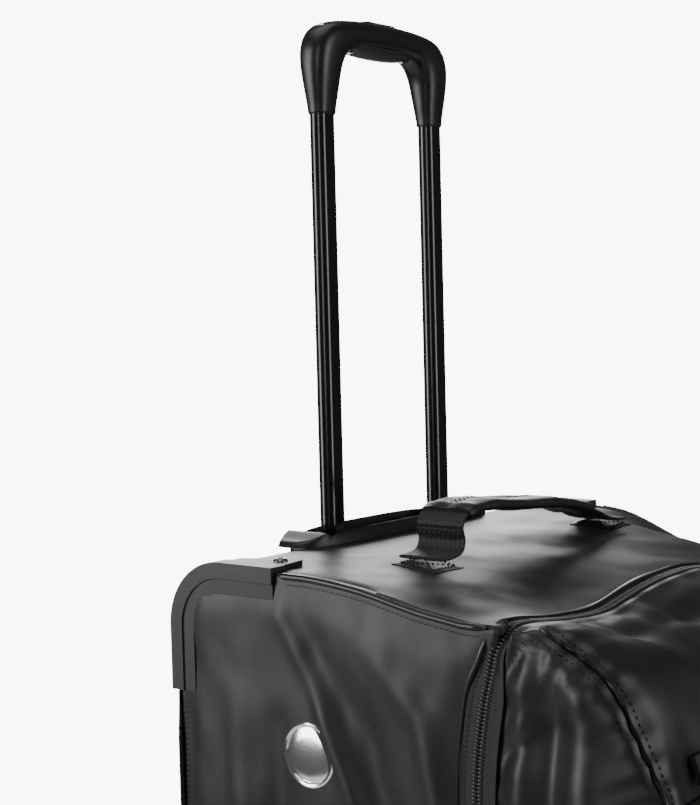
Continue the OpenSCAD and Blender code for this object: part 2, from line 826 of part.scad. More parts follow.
module button_spring() {
  z0 = bar_low_z + cover_t + spring_wire_r;
  z1 = yoke_z - spring_wire_r;
  rings = spring_turns * spring_steps;
  points = [for (k = [0 : rings]) each coil_ring(k / spring_steps, z0 + (z1 - z0) * k / rings)];
  sides = [for (k = [0 : rings - 1]) for (i = [0 : spring_sides - 1]) let (j = (i + 1) % spring_sides)
    [k * spring_sides + i, k * spring_sides + j, (k + 1) * spring_sides + j, (k + 1) * spring_sides + i]];
  ends = [
    [for (i = [spring_sides - 1 : -1 : 0]) i],
    [for (i = [0 : spring_sides - 1]) rings * spring_sides + i]
  ];
  color("#b5b5b8") translate([0, tube_y, 0]) polyhedron(points, concat(sides, ends));
}

module lock_pin() {
  color("#b0b0b3") translate([tube_pitch / 2 + outer_in_w / 2 + 1 - pin_len, tube_y, pin_z])
    rotate([0, 90, 0]) cylinder(r = pin_r, h = pin_len);
}
module lock_pin_left() { on_side(-1) lock_pin(); }
module lock_pin_right() { on_side(1) lock_pin(); }

// ---- Carry handle on the top panel ----

// Height of the webbing's middle line at x.
function web_z(x) = web_base_z + web_rise * (1 - pow(abs(x) / (web_span / 2), web_power));

// Strip of the webbing over n steps each way from the middle, from lo to hi above its lower face.
module web_strip(n, lo, hi) {
  xs = [for (i = [-n : n]) web_step * i];
  translate([0, web_y + web_w / 2, 0]) rotate([90, 0, 0]) linear_extrude(web_w)
    polygon(concat([for (x = xs) [x, web_z(x) + hi]], [for (x = reversed(xs)) [x, web_z(x) + lo]]));
}

module carry_webbing() {
  color("#141415") web_strip(web_steps, 0, web_t);
}

module carry_grip() {
  color("#232224") {
    web_strip(wrap_steps, web_t, web_t + wrap_t);
    web_strip(wrap_steps, -wrap_t, 0);
  }
}

// ---- Lid ----

module lid_panel() {
  color("#232224") across(-gusset_x, gusset_x) strip(lid_curve(0), lid_curve(-wall));
}

module lid_gusset() {
  color("#252426") across(gusset_x, half_w - gusset_inset)
    polygon(concat(lid_curve(0), seam_curve(seam_gap / 2)));
}
module lid_gusset_left() { on_side(-1) lid_gusset(); }
module lid_gusset_right() { on_side(1) lid_gusset(); }

module zip_tape_lid() {
  color("#3d3c40") {
    for (s = [-1, 1]) on_side(s)
      across(half_w - gusset_inset, half_w + tape_t)
        strip(seam_curve(tape_w, seam_end_a), seam_curve(seam_gap / 2, seam_end_a));
    translate([-half_w - tape_t, zip_top_y - tape_w, zip_top_z])
      cube([body_w + 2 * tape_t, tape_w - seam_gap / 2, tape_t]);
  }
}

module zip_coil_lid() {
  color("#8d8d90") {
    for (s = [-1, 1]) on_side(s)
      across(half_w + tape_t, half_w + tape_t + coil_t)
        strip(seam_curve(coil_w / 2, seam_end_a), seam_curve(seam_gap / 2, seam_end_a));
    translate([-half_w - tape_t, zip_top_y - coil_w / 2, zip_top_z + tape_t])
      cube([body_w + 2 * tape_t, (coil_w - seam_gap) / 2, coil_t]);
  }
}

// Flat front pocket on the lid, from its zip down to the belly.
module pocket_panel() {
  color("#201f21") across(-half_w + pocket_inset, half_w - pocket_inset)
    strip(pocket_curve(pocket_t), pocket_curve(0));
}

// Turns a piece lying on the XY plane to face out of the lid at the pocket's zip.
module on_pocket(x) {
  p = shoulder(pocket_angle, 0);
  q = shoulder(pocket_angle + 1, 0);
  translate([x, p[0], p[1]]) rotate([atan2(q[1] - p[1], q[0] - p[0]) + 180, 0, 0]) children();
}

module pocket_zip() {
  color("#3d3c40") on_pocket(0) {
    translate([-pocket_zip_half, -pocket_zip_w / 2, pocket_zip_lift])
      cube([2 * pocket_zip_half, pocket_zip_w, tape_t]);
    translate([-pocket_zip_half, -coil_w / 2, pocket_zip_lift + tape_t])
      cube([2 * pocket_zip_half, coil_w, coil_t]);
  }
}

// ---- Zip sliders, drawn lying on the XY plane with the zip along Y ----

module slider() {
  color("#6b6b6f") {
    translate([-slider_w / 2, -slider_l / 2, slider_gap]) cube([slider_w, slider_l, slider_t]);
    for (s = [-1, 1]) translate([s * (ear_gap + ear_t) / 2 - ear_t / 2, -ear_l / 2, slider_gap + slider_t])
      cube([ear_t, ear_l, ear_h]);
    translate([-ear_gap / 2 - ear_t, 0, slider_gap + slider_t + pivot_h]) rotate([0, 90, 0])
      cylinder(r = pivot_r, h = ear_gap + 2 * ear_t);
  }
}

// Pull tab hanging from the slider's pin along -Y.
module pull() {
  w = ear_gap - 2 * pull_side_gap;
  color("#5a5a5e") translate([0, 0, slider_gap + slider_t + pivot_h]) difference() {
    union() {
      rotate([0, 90, 0]) cylinder(r = pull_eye_r, h = w, center = true);
      translate([-w / 2, -pull_l, -pull_t / 2]) cube([w, pull_l, pull_t]);
    }
    rotate([0, 90, 0]) cylinder(r = pivot_r + pivot_gap, h = w + 2 * past, center = true);
  }
}

// Places a slider on the right side's main zip at height z, facing +X with the zip along Z.
module on_main_zip(z) {
  translate([half_w + tape_t + coil_t, zip_y, z]) rotate([90, 0, 90]) children();
}
module slider_upper() { on_main_zip(slider_park_z + slider_spacing) slider(); }
module slider_lower() { on_main_zip(slider_park_z - slider_spacing) slider(); }
module pull_upper() { on_main_zip(slider_park_z + slider_spacing) pull(); }
module pull_lower() { on_main_zip(slider_park_z - slider_spacing) pull(); }

module on_pocket_zip() {
  on_pocket(pocket_slider_x) translate([0, 0, pocket_zip_lift + tape_t + coil_t]) children();
}
module pocket_slider() { on_pocket_zip() rotate([0, 0, 90]) slider(); }
module pocket_pull() { on_pocket_zip() rotate([0, 0, 90]) pull(); }

// ---- Nodes ----

back_panel();
back_board();
side_panel_left();
side_panel_right();
top_panel();
base_tray();
base_board();
wheel_housing_left();
wheel_housing_right();
front_feet();
corner_guard_left();
corner_guard_right();
guard_screws();
handle_housing();
guide_collars();
outer_tube_left();
outer_tube_right();
tube_bracket();
back_runners();
piping_left();
piping_right();
zip_tape_body();
zip_coil_body();
wheel_axles();
anchor_patches();
side_badge();
inner_tube_left();
inner_tube_right();
grip();
grip_cover();
grip_screws();
tube_bushes();
button_spring();
push_button();
release_rods();
lock_pin_left();
lock_pin_right();
wheel_hub_left();
tyre_left();
wheel_bush_left();
wheel_hub_right();
tyre_right();
wheel_bush_right();
carry_webbing();
carry_grip();
lid_panel();
lid_gusset_left();
lid_gusset_right();
zip_tape_lid();
zip_coil_lid();
pocket_panel();
pocket_zip();
slider_upper();
slider_lower();
pull_upper();
pull_lower();
pocket_slider();
pocket_pull();
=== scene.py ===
import json
import logging
import math
from bisect import bisect_right
from dataclasses import dataclass
from enum import Enum
from typing import Callable, Iterable, Sequence

import bmesh
import bpy
from bmesh.types import BMEdge, BMesh
from bpy.types import Material, NodeTree, Object
from mathutils import Matrix, Vector, noise
from mathutils.bvhtree import BVHTree

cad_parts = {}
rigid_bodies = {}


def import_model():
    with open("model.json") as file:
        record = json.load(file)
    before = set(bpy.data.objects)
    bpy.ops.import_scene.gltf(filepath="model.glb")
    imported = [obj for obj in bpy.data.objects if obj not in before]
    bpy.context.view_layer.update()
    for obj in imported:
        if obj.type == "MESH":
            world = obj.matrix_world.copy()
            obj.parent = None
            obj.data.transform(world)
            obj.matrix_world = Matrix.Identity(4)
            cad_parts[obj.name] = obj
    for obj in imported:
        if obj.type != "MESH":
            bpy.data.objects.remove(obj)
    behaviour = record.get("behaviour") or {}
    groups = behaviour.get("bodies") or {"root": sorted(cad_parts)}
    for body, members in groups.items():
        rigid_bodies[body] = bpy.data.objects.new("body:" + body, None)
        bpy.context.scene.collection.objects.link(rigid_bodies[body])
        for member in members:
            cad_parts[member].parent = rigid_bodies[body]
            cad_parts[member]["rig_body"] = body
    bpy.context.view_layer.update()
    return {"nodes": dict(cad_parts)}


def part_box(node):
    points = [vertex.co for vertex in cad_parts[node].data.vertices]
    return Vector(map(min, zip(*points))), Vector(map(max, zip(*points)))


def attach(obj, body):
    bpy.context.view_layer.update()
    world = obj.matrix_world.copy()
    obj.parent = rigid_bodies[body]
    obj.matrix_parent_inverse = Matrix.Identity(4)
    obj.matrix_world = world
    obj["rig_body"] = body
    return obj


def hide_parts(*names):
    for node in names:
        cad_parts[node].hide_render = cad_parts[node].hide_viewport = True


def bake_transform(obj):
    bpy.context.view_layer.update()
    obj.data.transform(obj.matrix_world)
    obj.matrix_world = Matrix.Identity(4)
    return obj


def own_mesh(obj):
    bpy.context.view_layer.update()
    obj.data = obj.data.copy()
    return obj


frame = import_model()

log = logging.getLogger("bag")
Spot = tuple[float, float, float]

# Half length, half width and half height of the beads that make threads and teeth, in metres.
SEAM_STITCH: Spot = (0.0014, 0.00042, 0.0004)
CROSS_STITCH: Spot = (0.0014, 0.00045, 0.00045)
EDGE_STITCH: Spot = (0.0011, 0.0003, 0.00035)
TAPE_STITCH: Spot = (0.0011, 0.00032, 0.00028)
WRAP_STITCH: Spot = (0.0015, 0.00045, 0.0005)
PATCH_STITCH: Spot = (0.0012, 0.00045, 0.0005)
MAIN_TOOTH: Spot = (0.0020, 0.00072, 0.0009)
POCKET_TOOTH: Spot = (0.0019, 0.0008, 0.0008)

# ---------------------------------------------------------------- small maths


def ease(start: float, stop: float, value: float) -> float:
    """Returns 0 up to start and 1 past stop, with a soft change between them.

    Args:
        start: Value where the change begins; it may lie above stop.
        stop: Value where the change is complete.
        value: The value to look up.

    Returns:
        A share from 0 to 1.
    """
    share = min(1.0, max(0.0, (value - start) / (stop - start)))
    return share * share * (3.0 - 2.0 * share)


def bump(middle: float, reach: float, value: float) -> float:
    """Returns 1 at the middle, falling softly towards 0 past its reach."""
    return math.exp(-(((value - middle) / reach) ** 2))


def swell(spot: Vector, size: float, seed: float = 0.0) -> float:
    """Returns smooth noise from about -1 to 1 whose lumps are about size across."""
    return noise.noise(spot / size + Vector((seed, 2.0 * seed, -seed)))


def keep_sign(value: float, power: float) -> float:
    """Returns a value's size raised to a power, with the value's own sign."""
    return math.copysign(abs(value) ** power, value)


def pick(items: Sequence, share: float) -> object:
    """Returns the item at a share from 0 to 1 of a sequence's length."""
    return items[round(min(1.0, max(0.0, share)) * (len(items) - 1))]


class Path:
    """A line through points in space, read by its share of length."""

    def __init__(self, points: Iterable[Sequence[float]]) -> None:
        """Stores the points and the length up to each of them."""
        self.points = [Vector(p) for p in points]
        self.marks = [0.0]
        for a, b in zip(self.points, self.points[1:]):
            self.marks.append(self.marks[-1] + (b - a).length)

    @property
    def length(self) -> float:
        """Length of the whole line."""
        return self.marks[-1]

    def at(self, share: float) -> Vector:
        """Returns the point at a share of the length, from 0 to 1."""
        run = min(1.0, max(0.0, share)) * self.length
        i = min(max(bisect_right(self.marks, run) - 1, 0), len(self.points) - 2)
        step = self.marks[i + 1] - self.marks[i]
        return self.points[i].lerp(self.points[i + 1], (run - self.marks[i]) / step if step else 0.0)

    def tangent(self, share: float) -> Vector:
        """Returns the unit direction of the line at a share of its length."""
        gap = 0.004
        return (self.at(share + gap) - self.at(share - gap)).normalized()

    def even(self, count: int) -> list[Vector]:
        """Returns count + 1 points spaced evenly along the line."""
        return [self.at(i / count) for i in range(count + 1)]

    def away(self, spot: Vector) -> tuple[float, float]:
        """Returns the distance from a spot to the line, and the share where it is nearest."""
        best, share = 1e9, 0.0
        for i, (a, b) in enumerate(zip(self.points, self.points[1:])):
            ab = b - a
            t = min(1.0, max(0.0, (spot - a).dot(ab) / max(ab.length_squared, 1e-12)))
            gap = (spot - a - ab * t).length
            if gap < best:
                best, share = gap, (self.marks[i] + t * ab.length) / self.length
        return best, share


def curve_through(points: Sequence[Sequence[float]], count: int) -> Path:
    """Returns a smooth path through the points.

    Args:
        points: Points that the line passes through, in order.
        count: Steps between two neighbouring points.

    Returns:
        The smooth path.
    """
    p = [Vector(q) for q in points]
    p = [2 * p[0] - p[1], *p, 2 * p[-1] - p[-2]]
    line = []
    for a, b, c, d in zip(p, p[1:], p[2:], p[3:]):
        for i in range(count):
            t = i / count
            line.append(0.5 * (2 * b + (c - a) * t + (2 * a - 5 * b + 4 * c - d) * t * t
                               + (3 * b - a - 3 * c + d) * t ** 3))
    line.append(p[-2])
    return Path(line)


# ---------------------------------------------------------------- mesh helpers


def mapped_grid(bm: BMesh, across: int, along: int, place: Callable[[float, float], Vector]) -> None:
    """Adds a grid whose points are placed by a function of two shares from 0 to 1."""
    made = bmesh.ops.create_grid(bm, x_segments=across, y_segments=along, size=1.0)["verts"]
    for vert in made:
        vert.co = place((vert.co.x + 1) / 2, (vert.co.y + 1) / 2)


def face_towards(bm: BMesh, outward: Callable[[Vector], Vector]) -> None:
    """Turns an open sheet over if its faces point against the outward direction."""
    bm.normal_update()
    vote = sum(f.normal.dot(outward(f.calc_center_median())) * f.calc_area() for f in bm.faces)
    if vote < 0:
        bmesh.ops.reverse_faces(bm, faces=bm.faces)


def close_up(bm: BMesh) -> None:
    """Merges doubled points, fills open ends and turns every face outwards."""
    bmesh.ops.remove_doubles(bm, verts=bm.verts, dist=2e-6)
    bmesh.ops.dissolve_degenerate(bm, edges=bm.edges, dist=1e-6)
    bmesh.ops.holes_fill(bm, edges=bm.edges, sides=0)
    bmesh.ops.recalc_face_normals(bm, faces=bm.faces)


def add_tube(bm: BMesh, path: Path, steps: int, radius: float | Callable[[float], float],
             sides: int = 8, up: Callable[[float], Vector] | None = None, flat: float = 1.0) -> None:
    """Adds a tube that follows a path.

    Args:
        bm: Mesh that takes the tube.
        path: Middle line of the tube.
        steps: Rings along the path.
        radius: Radius, or a function of the share of length.
        sides: Faces around the tube.
        up: Direction of the tube's thickness at a share of length.
        flat: Thickness as a share of the width.
    """
    size = radius if callable(radius) else (lambda _: radius)

    def place(around: float, share: float) -> Vector:
        tangent = path.tangent(share)
        ref = up(share) if up else Vector((0.3, 0.2, 0.93))
        side = tangent.cross(ref).normalized()
        rise = side.cross(tangent).normalized()
        a, r = around * math.tau, size(share)
        return path.at(share) + side * (r * math.cos(a)) + rise * (r * flat * math.sin(a))

    part = bmesh.new()
    mapped_grid(part, sides, steps, place)
    close_up(part)
    merge_into(bm, part)


def merge_into(bm: BMesh, part: BMesh) -> None:
    """Adds a finished part to a mesh and frees the part."""
    holder = bpy.data.meshes.new("part")
    part.to_mesh(holder)
    part.free()
    bm.from_mesh(holder)
    bpy.data.meshes.remove(holder)


def add_beads(bm: BMesh, spots: Iterable[tuple[Vector, Vector, Vector]], size: Spot) -> None:
    """Adds one small rounded bead at each spot, such as a stitch or a tooth.

    Args:
        bm: Mesh that takes the beads.
        spots: Middle, long direction and upward direction of each bead.
        size: Half length, half width and half height of a bead.
    """
    seed = bmesh.new()
    bmesh.ops.create_icosphere(seed, subdivisions=1, radius=1.0)
    unit = bpy.data.meshes.new("bead")
    seed.to_mesh(unit)
    seed.free()
    for middle, along, up in spots:
        side = up.cross(along).normalized()
        rise = along.cross(side).normalized()
        frame3 = Matrix((along.normalized() * size[0], side * size[1], rise * size[2])).transposed()
        start = len(bm.verts)
        bm.from_mesh(unit)
        bm.verts.ensure_lookup_table()
        for vert in bm.verts[start:]:
            vert.co = frame3 @ vert.co + middle
    bpy.data.meshes.remove(unit)


def displaced(bm: BMesh, push: Callable[[Vector, Vector], float]) -> None:
    """Moves each point along its normal by a function of its place and normal."""
    bm.normal_update()
    moves = [(v, v.normal * push(v.co, v.normal)) for v in bm.verts]
    for vert, move in moves:
        vert.co += move


def evaluated(obj: Object) -> bpy.types.Mesh:
    """Returns a new mesh of the object with its modifiers applied."""
    bpy.context.view_layer.update()
    graph = bpy.context.evaluated_depsgraph_get()
    return bpy.data.meshes.new_from_object(obj.evaluated_get(graph))


@dataclass(frozen=True)
class Fold:
    """A soft ridge, or a furrow where its height is below 0, along a line in the fabric."""

    line: tuple[Spot, ...]
    width: float
    height: float

    def push(self, spot: Vector) -> float:
        """Returns how far the fold lifts the fabric at a spot."""
        path = Path(self.line)
        gap, share = path.away(spot)
        if gap > 3 * self.width:
            return 0.0
        taper = math.sin(math.pi * min(1.0, max(0.0, 0.08 + 0.84 * share))) ** 0.7
        return self.height * taper * math.exp(-((gap / self.width) ** 2))


def folds_push(folds: Sequence[Fold], spot: Vector) -> float:
    """Returns the lift of all folds together at a spot."""
    return sum(fold.push(spot) for fold in folds)


# ---------------------------------------------------------------- finishes


class Groups:
    """Node groups that several finishes share, each built once."""

    made: dict[str, NodeTree] = {}

    @classmethod
    def start(cls, name: str, inputs: dict[str, float | None], outputs: Sequence[str]) -> NodeTree | None:
        """Starts a node group, or returns None if it is there already.

        Args:
            name: Name of the group.
            inputs: Input names with their defaults; None makes a vector.
            outputs: Names of the value outputs.

        Returns:
            The new tree, with its input and output nodes, or None.
        """
        if name in cls.made:
            return None
        tree = bpy.data.node_groups.new(name, "ShaderNodeTree")
        for label, default in inputs.items():
            kind = "NodeSocketVector" if default is None else "NodeSocketFloat"
            made = tree.interface.new_socket(label, in_out="INPUT", socket_type=kind)
            if default is not None:
                made.default_value = default
        for label in outputs:
            tree.interface.new_socket(label, in_out="OUTPUT", socket_type="NodeSocketFloat")
        tree.nodes.new("NodeGroupInput").name = "in"
        tree.nodes.new("NodeGroupOutput").name = "out"
        cls.made[name] = tree
        return tree

    @classmethod
    def weave(cls) -> NodeTree:
        """Returns the plain weave: crossing threads in every plane of the object, and a painted shade that follows
        the threads' height.
        """
        tree = cls.start("weave", {"Vector": None, "Threads": 1800.0}, ["Height", "Shade"])
        if tree:
            kit = Nodes(tree)
            scaled = kit.vector("SCALE", kit.of("in", "Vector"), scale=kit.of("in", "Threads"))
            parts = kit.add("ShaderNodeSeparateXYZ", Vector=scaled)
            waves = [kit.maths("SINE", parts.outputs[i]) for i in range(3)]
            pairs = [kit.maths("MULTIPLY", waves[i], waves[(i + 1) % 3]) for i in range(3)]
            total = kit.maths("ADD", kit.maths("ADD", pairs[0], pairs[1]), pairs[2])
            height = kit.maths("MULTIPLY_ADD", total, 0.4, 0.5)
            wander = kit.add("ShaderNodeTexNoise", Vector=kit.of("in", "Vector"), Scale=26.0, Detail=3.0)
            kit.out("Height", height)
            # Shade is painted shade: thread height times noise, so thread crests are coloured lighter and the gaps
            # between threads darker, with random tone from the noise.
            kit.out("Shade", kit.maths("MULTIPLY", height, wander.outputs["Fac"]))
        return cls.made["weave"]

    @classmethod
    def grain(cls) -> NodeTree:
        """Returns the fine pebbled grain of moulded plastic and coated cloth."""
        tree = cls.start("grain", {"Vector": None, "Cells": 900.0, "Mix": 0.5}, ["Height"])
        if tree:
            kit = Nodes(tree)
            cells = kit.add("ShaderNodeTexVoronoi", Vector=kit.of("in", "Vector"), Scale=kit.of("in", "Cells"))
            cloud = kit.add("ShaderNodeTexNoise", Vector=kit.of("in", "Vector"),
                            Scale=kit.of("in", "Cells"), Detail=4.0, Roughness=0.6)
            mixed = kit.add("ShaderNodeMix", Factor=kit.of("in", "Mix"), A=cells.outputs["Distance"],
                            B=cloud.outputs["Fac"])
            kit.out("Height", mixed.outputs["Result"])
        return cls.made["grain"]

    @classmethod
    def crinkle(cls) -> NodeTree:
        """Returns the small crossing creases of a coated cloth that has been folded."""
        tree = cls.start("crinkle", {"Vector": None, "Scale": 24.0, "Sharp": 1.0}, ["Height", "Mask"])
        if tree:
            kit = Nodes(tree)
            base = kit.add("ShaderNodeTexNoise", Vector=kit.of("in", "Vector"),
                           Scale=kit.of("in", "Scale"), Detail=5.0, Roughness=0.55, Distortion=0.7)
            ridge = kit.maths("ABSOLUTE", kit.maths("SUBTRACT", base.outputs["Fac"], 0.5))
            sharp = kit.maths("POWER", kit.maths("MULTIPLY", ridge, 4.0, clamp=True), kit.of("in", "Sharp"))
            kit.out("Height", sharp)
            kit.out("Mask", base.outputs["Fac"])
        return cls.made["crinkle"]

    @classmethod
    def wear(cls) -> NodeTree:
        """Returns scuffs and rubbed patches, more of them near the floor."""
        tree = cls.start("wear", {"Vector": None, "Scale": 60.0, "Amount": 0.3}, ["Mask"])
        if tree:
            kit = Nodes(tree)
            stretch = kit.vector("MULTIPLY", kit.of("in", "Vector"), (1.0, 1.0, 0.22))
            streaks = kit.add("ShaderNodeTexNoise", Vector=stretch, Scale=kit.of("in", "Scale"),
                              Detail=6.0, Roughness=0.7)
            height = kit.add("ShaderNodeSeparateXYZ", Vector=kit.of("in", "Vector")).outputs["Z"]
            low = kit.maths("SUBTRACT", 1.0, kit.maths("MULTIPLY", height, 1.4, clamp=True))
            level = kit.maths("SUBTRACT", streaks.outputs["Fac"], kit.maths("MULTIPLY_ADD", low, -0.06, 0.62))
            kit.out("Mask", kit.maths("MULTIPLY", kit.maths("MULTIPLY", level, 9.0, clamp=True),
                                      kit.of("in", "Amount")))
        return cls.made["wear"]

    @classmethod
    def dust(cls) -> NodeTree:
        """Returns a thin film of dust on faces that look up."""
        tree = cls.start("dust", {"Vector": None, "Amount": 0.2}, ["Mask"])
        if tree:
            kit = Nodes(tree)
            normal = kit.add("ShaderNodeNewGeometry").outputs["Normal"]
            parts = kit.add("ShaderNodeSeparateXYZ", Vector=normal)
            up = kit.maths("MULTIPLY", parts.outputs["Z"], 1.0, clamp=True)
            specks = kit.add("ShaderNodeTexNoise", Vector=kit.of("in", "Vector"), Scale=340.0, Detail=5.0)
            broken = kit.maths("MULTIPLY", specks.outputs["Fac"], up)
            kit.out("Mask", kit.maths("MULTIPLY", broken, kit.of("in", "Amount")))
        return cls.made["dust"]


class Nodes:
    """Shorthand for adding and joining shader nodes in one tree."""

    def __init__(self, tree: NodeTree) -> None:
        """Keeps the tree that the nodes go into."""
        self.tree = tree

    def add(self, kind: str, **values: object) -> bpy.types.Node:
        """Adds a node and sets or joins its inputs.

        Args:
            kind: Type name of the node.
            values: Input names, with an underscore for a space, and a value or a socket to join.

        Returns:
            The new node.
        """
        node = self.tree.nodes.new(kind)
        for label, value in values.items():
            self.feed(node.inputs[label.replace("_", " ")], value)
        return node

    def feed(self, socket: bpy.types.NodeSocket, value: object) -> None:
        """Joins a socket to another, or sets its own value."""
        if isinstance(value, bpy.types.NodeSocket):
            self.tree.links.new(value, socket)
        else:
            socket.default_value = value

    def of(self, node: str, label: str) -> bpy.types.NodeSocket:
        """Returns an output socket of a named node."""
        return self.tree.nodes[node].outputs[label]

    def out(self, label: str, socket: bpy.types.NodeSocket) -> None:
        """Joins a socket to the group's output."""
        self.tree.links.new(socket, self.tree.nodes["out"].inputs[label])

    def maths(self, kind: str, *values: object, clamp: bool = False) -> bpy.types.NodeSocket:
        """Adds a maths node and returns its result."""
        node = self.tree.nodes.new("ShaderNodeMath")
        node.operation, node.use_clamp = kind, clamp
        for socket, value in zip(node.inputs, values):
            self.feed(socket, value)
        return node.outputs["Value"]

    def vector(self, kind: str, *values: object, scale: object = None) -> bpy.types.NodeSocket:
        """Adds a vector maths node and returns its vector."""
        node = self.tree.nodes.new("ShaderNodeVectorMath")
        node.operation = kind
        for socket, value in zip(node.inputs, values):
            self.feed(socket, value)
        if scale is not None:
            self.feed(node.inputs["Scale"], scale)
        return node.outputs["Vector"]

    def blend(self, share: object, a: object, b: object) -> bpy.types.NodeSocket:
        """Mixes two colours by a share and returns the colour."""
        node = self.tree.nodes.new("ShaderNodeMix")
        node.data_type = "RGBA"
        for socket, value in zip((node.inputs["Factor"], node.inputs[6], node.inputs[7]), (share, a, b)):
            self.feed(socket, value)
        return node.outputs[2]

    def group(self, tree: NodeTree, **values: object) -> bpy.types.Node:
        """Places a shared group and sets or joins its inputs."""
        node = self.tree.nodes.new("ShaderNodeGroup")
        node.node_tree = tree
        for label, value in values.items():
            self.feed(node.inputs[label], value)
        return node


class Kind(Enum):
    """What a finish is made of, which says which effects it takes."""

    CLOTH = "cloth"
    PLASTIC = "plastic"
    METAL = "metal"


@dataclass(frozen=True)
class Finish:
    """One finish: a colour with the texture, gloss and wear of its material.

    Attributes:
        slot: The record's material slot.
        kind: What the finish is made of.
        colour: Base colour, linear.
        rough: Roughness.
        texture: Threads per metre of a cloth, or grain cells per metre.
        depth: Depth of the weave or grain in metres.
        crinkle: Depth of the creases in metres.
        coat: Weight of a clear coat.
        sheen: Weight of the sheen.
        specular: Specular level.
        scuff: Amount of rubbed patches.
        dust: Amount of dust on upward faces.
        tone: Share by which the colour varies, both with random cloud and with the painted shade of the weave or
            grain.
    """

    slot: str
    kind: Kind
    colour: Spot
    rough: float
    texture: float = 900.0
    depth: float = 0.00004
    crinkle: float = 0.0
    coat: float = 0.0
    sheen: float = 0.0
    specular: float = 0.5
    scuff: float = 0.15
    dust: float = 0.04
    tone: float = 0.25

    def material(self) -> Material:
        """Returns the finish as a material, made the first time it is asked for."""
        found = bpy.data.materials.get("finish_" + self.slot)
        return found or self.make()

    def make(self) -> Material:
        """Builds the material's nodes."""
        made = bpy.data.materials.new("finish_" + self.slot)
        made.use_nodes = True
        made.diffuse_color = (*self.colour, 1.0)
        kit = Nodes(made.node_tree)
        shader = made.node_tree.nodes["Principled BSDF"]
        spot = kit.add("ShaderNodeTexCoord").outputs["Object"]
        cloud = kit.add("ShaderNodeTexNoise", Vector=spot, Scale=9.0, Detail=5.0, Roughness=0.6)
        wear = kit.group(Groups.wear(), Vector=spot, Amount=self.scuff)
        dust = kit.group(Groups.dust(), Vector=spot, Amount=self.dust)
        height, shade = self.surface(kit, spot)
        lighter = tuple(min(1.0, c * (1 + 2.2 * self.tone) + 0.0004) for c in self.colour)
        darker = tuple(c * (1 - self.tone) for c in self.colour)
        rubbed = tuple(min(1.0, c * 1.5 + 0.012) for c in self.colour)
        # The colour mixes random cloud tone with the texture's painted shade, lighter on crests and darker in
        # hollows.
        colour = kit.blend(kit.maths("MULTIPLY", cloud.outputs["Fac"], shade), (*darker, 1.0), (*lighter, 1.0))
        colour = kit.blend(wear.outputs["Mask"], colour, (*rubbed, 1.0))
        colour = kit.blend(dust.outputs["Mask"], colour, (0.16, 0.15, 0.14, 1.0))
        kit.feed(shader.inputs["Base Color"], colour)
        rough = kit.maths("MULTIPLY_ADD", cloud.outputs["Fac"], 0.16, self.rough - 0.08)
        rough = kit.maths("MULTIPLY_ADD", wear.outputs["Mask"], 0.25, rough, clamp=True)
        kit.feed(shader.inputs["Roughness"], rough)
        shader.inputs["Metallic"].default_value = 1.0 if self.kind is Kind.METAL else 0.0
        shader.inputs["Coat Weight"].default_value = self.coat
        shader.inputs["Coat Roughness"].default_value = 0.12
        shader.inputs["Sheen Weight"].default_value = self.sheen
        shader.inputs["Sheen Roughness"].default_value = 0.45
        shader.inputs["Specular IOR Level"].default_value = self.specular
        kit.feed(shader.inputs["Normal"], height)
        return made

    def surface(self, kit: Nodes, spot: bpy.types.NodeSocket) -> tuple[bpy.types.NodeSocket, bpy.types.NodeSocket]:
        """Adds the finish's weave or grain and its creases.

        Args:
            kit: Nodes of the material.
            spot: Object coordinates.

        Returns:
            The bumped normal, and a painted shade from the texture: the colour is lighter on raised threads or
            grain and darker in the hollows between them.
        """
        # shade below is painted shade: colour lighter on the raised weave or grain and darker in its hollows.
        if self.kind is Kind.CLOTH:
            fine = kit.group(Groups.weave(), Vector=spot, Threads=self.texture * math.pi)
            shade = kit.maths("MULTIPLY_ADD", fine.outputs["Shade"], 1.6, 0.35)
        else:
            fine = kit.group(Groups.grain(), Vector=spot, Cells=self.texture)
            shade = kit.maths("MULTIPLY_ADD", fine.outputs["Height"], 0.6, 0.6)
        normal = kit.add("ShaderNodeBump", Distance=self.depth, Height=fine.outputs["Height"])
        if self.crinkle:
            large = kit.group(Groups.crinkle(), Vector=spot)
            normal = kit.add("ShaderNodeBump", Distance=self.crinkle, Height=large.outputs["Height"],
                             Normal=normal.outputs["Normal"])
        return normal.outputs["Normal"], shade


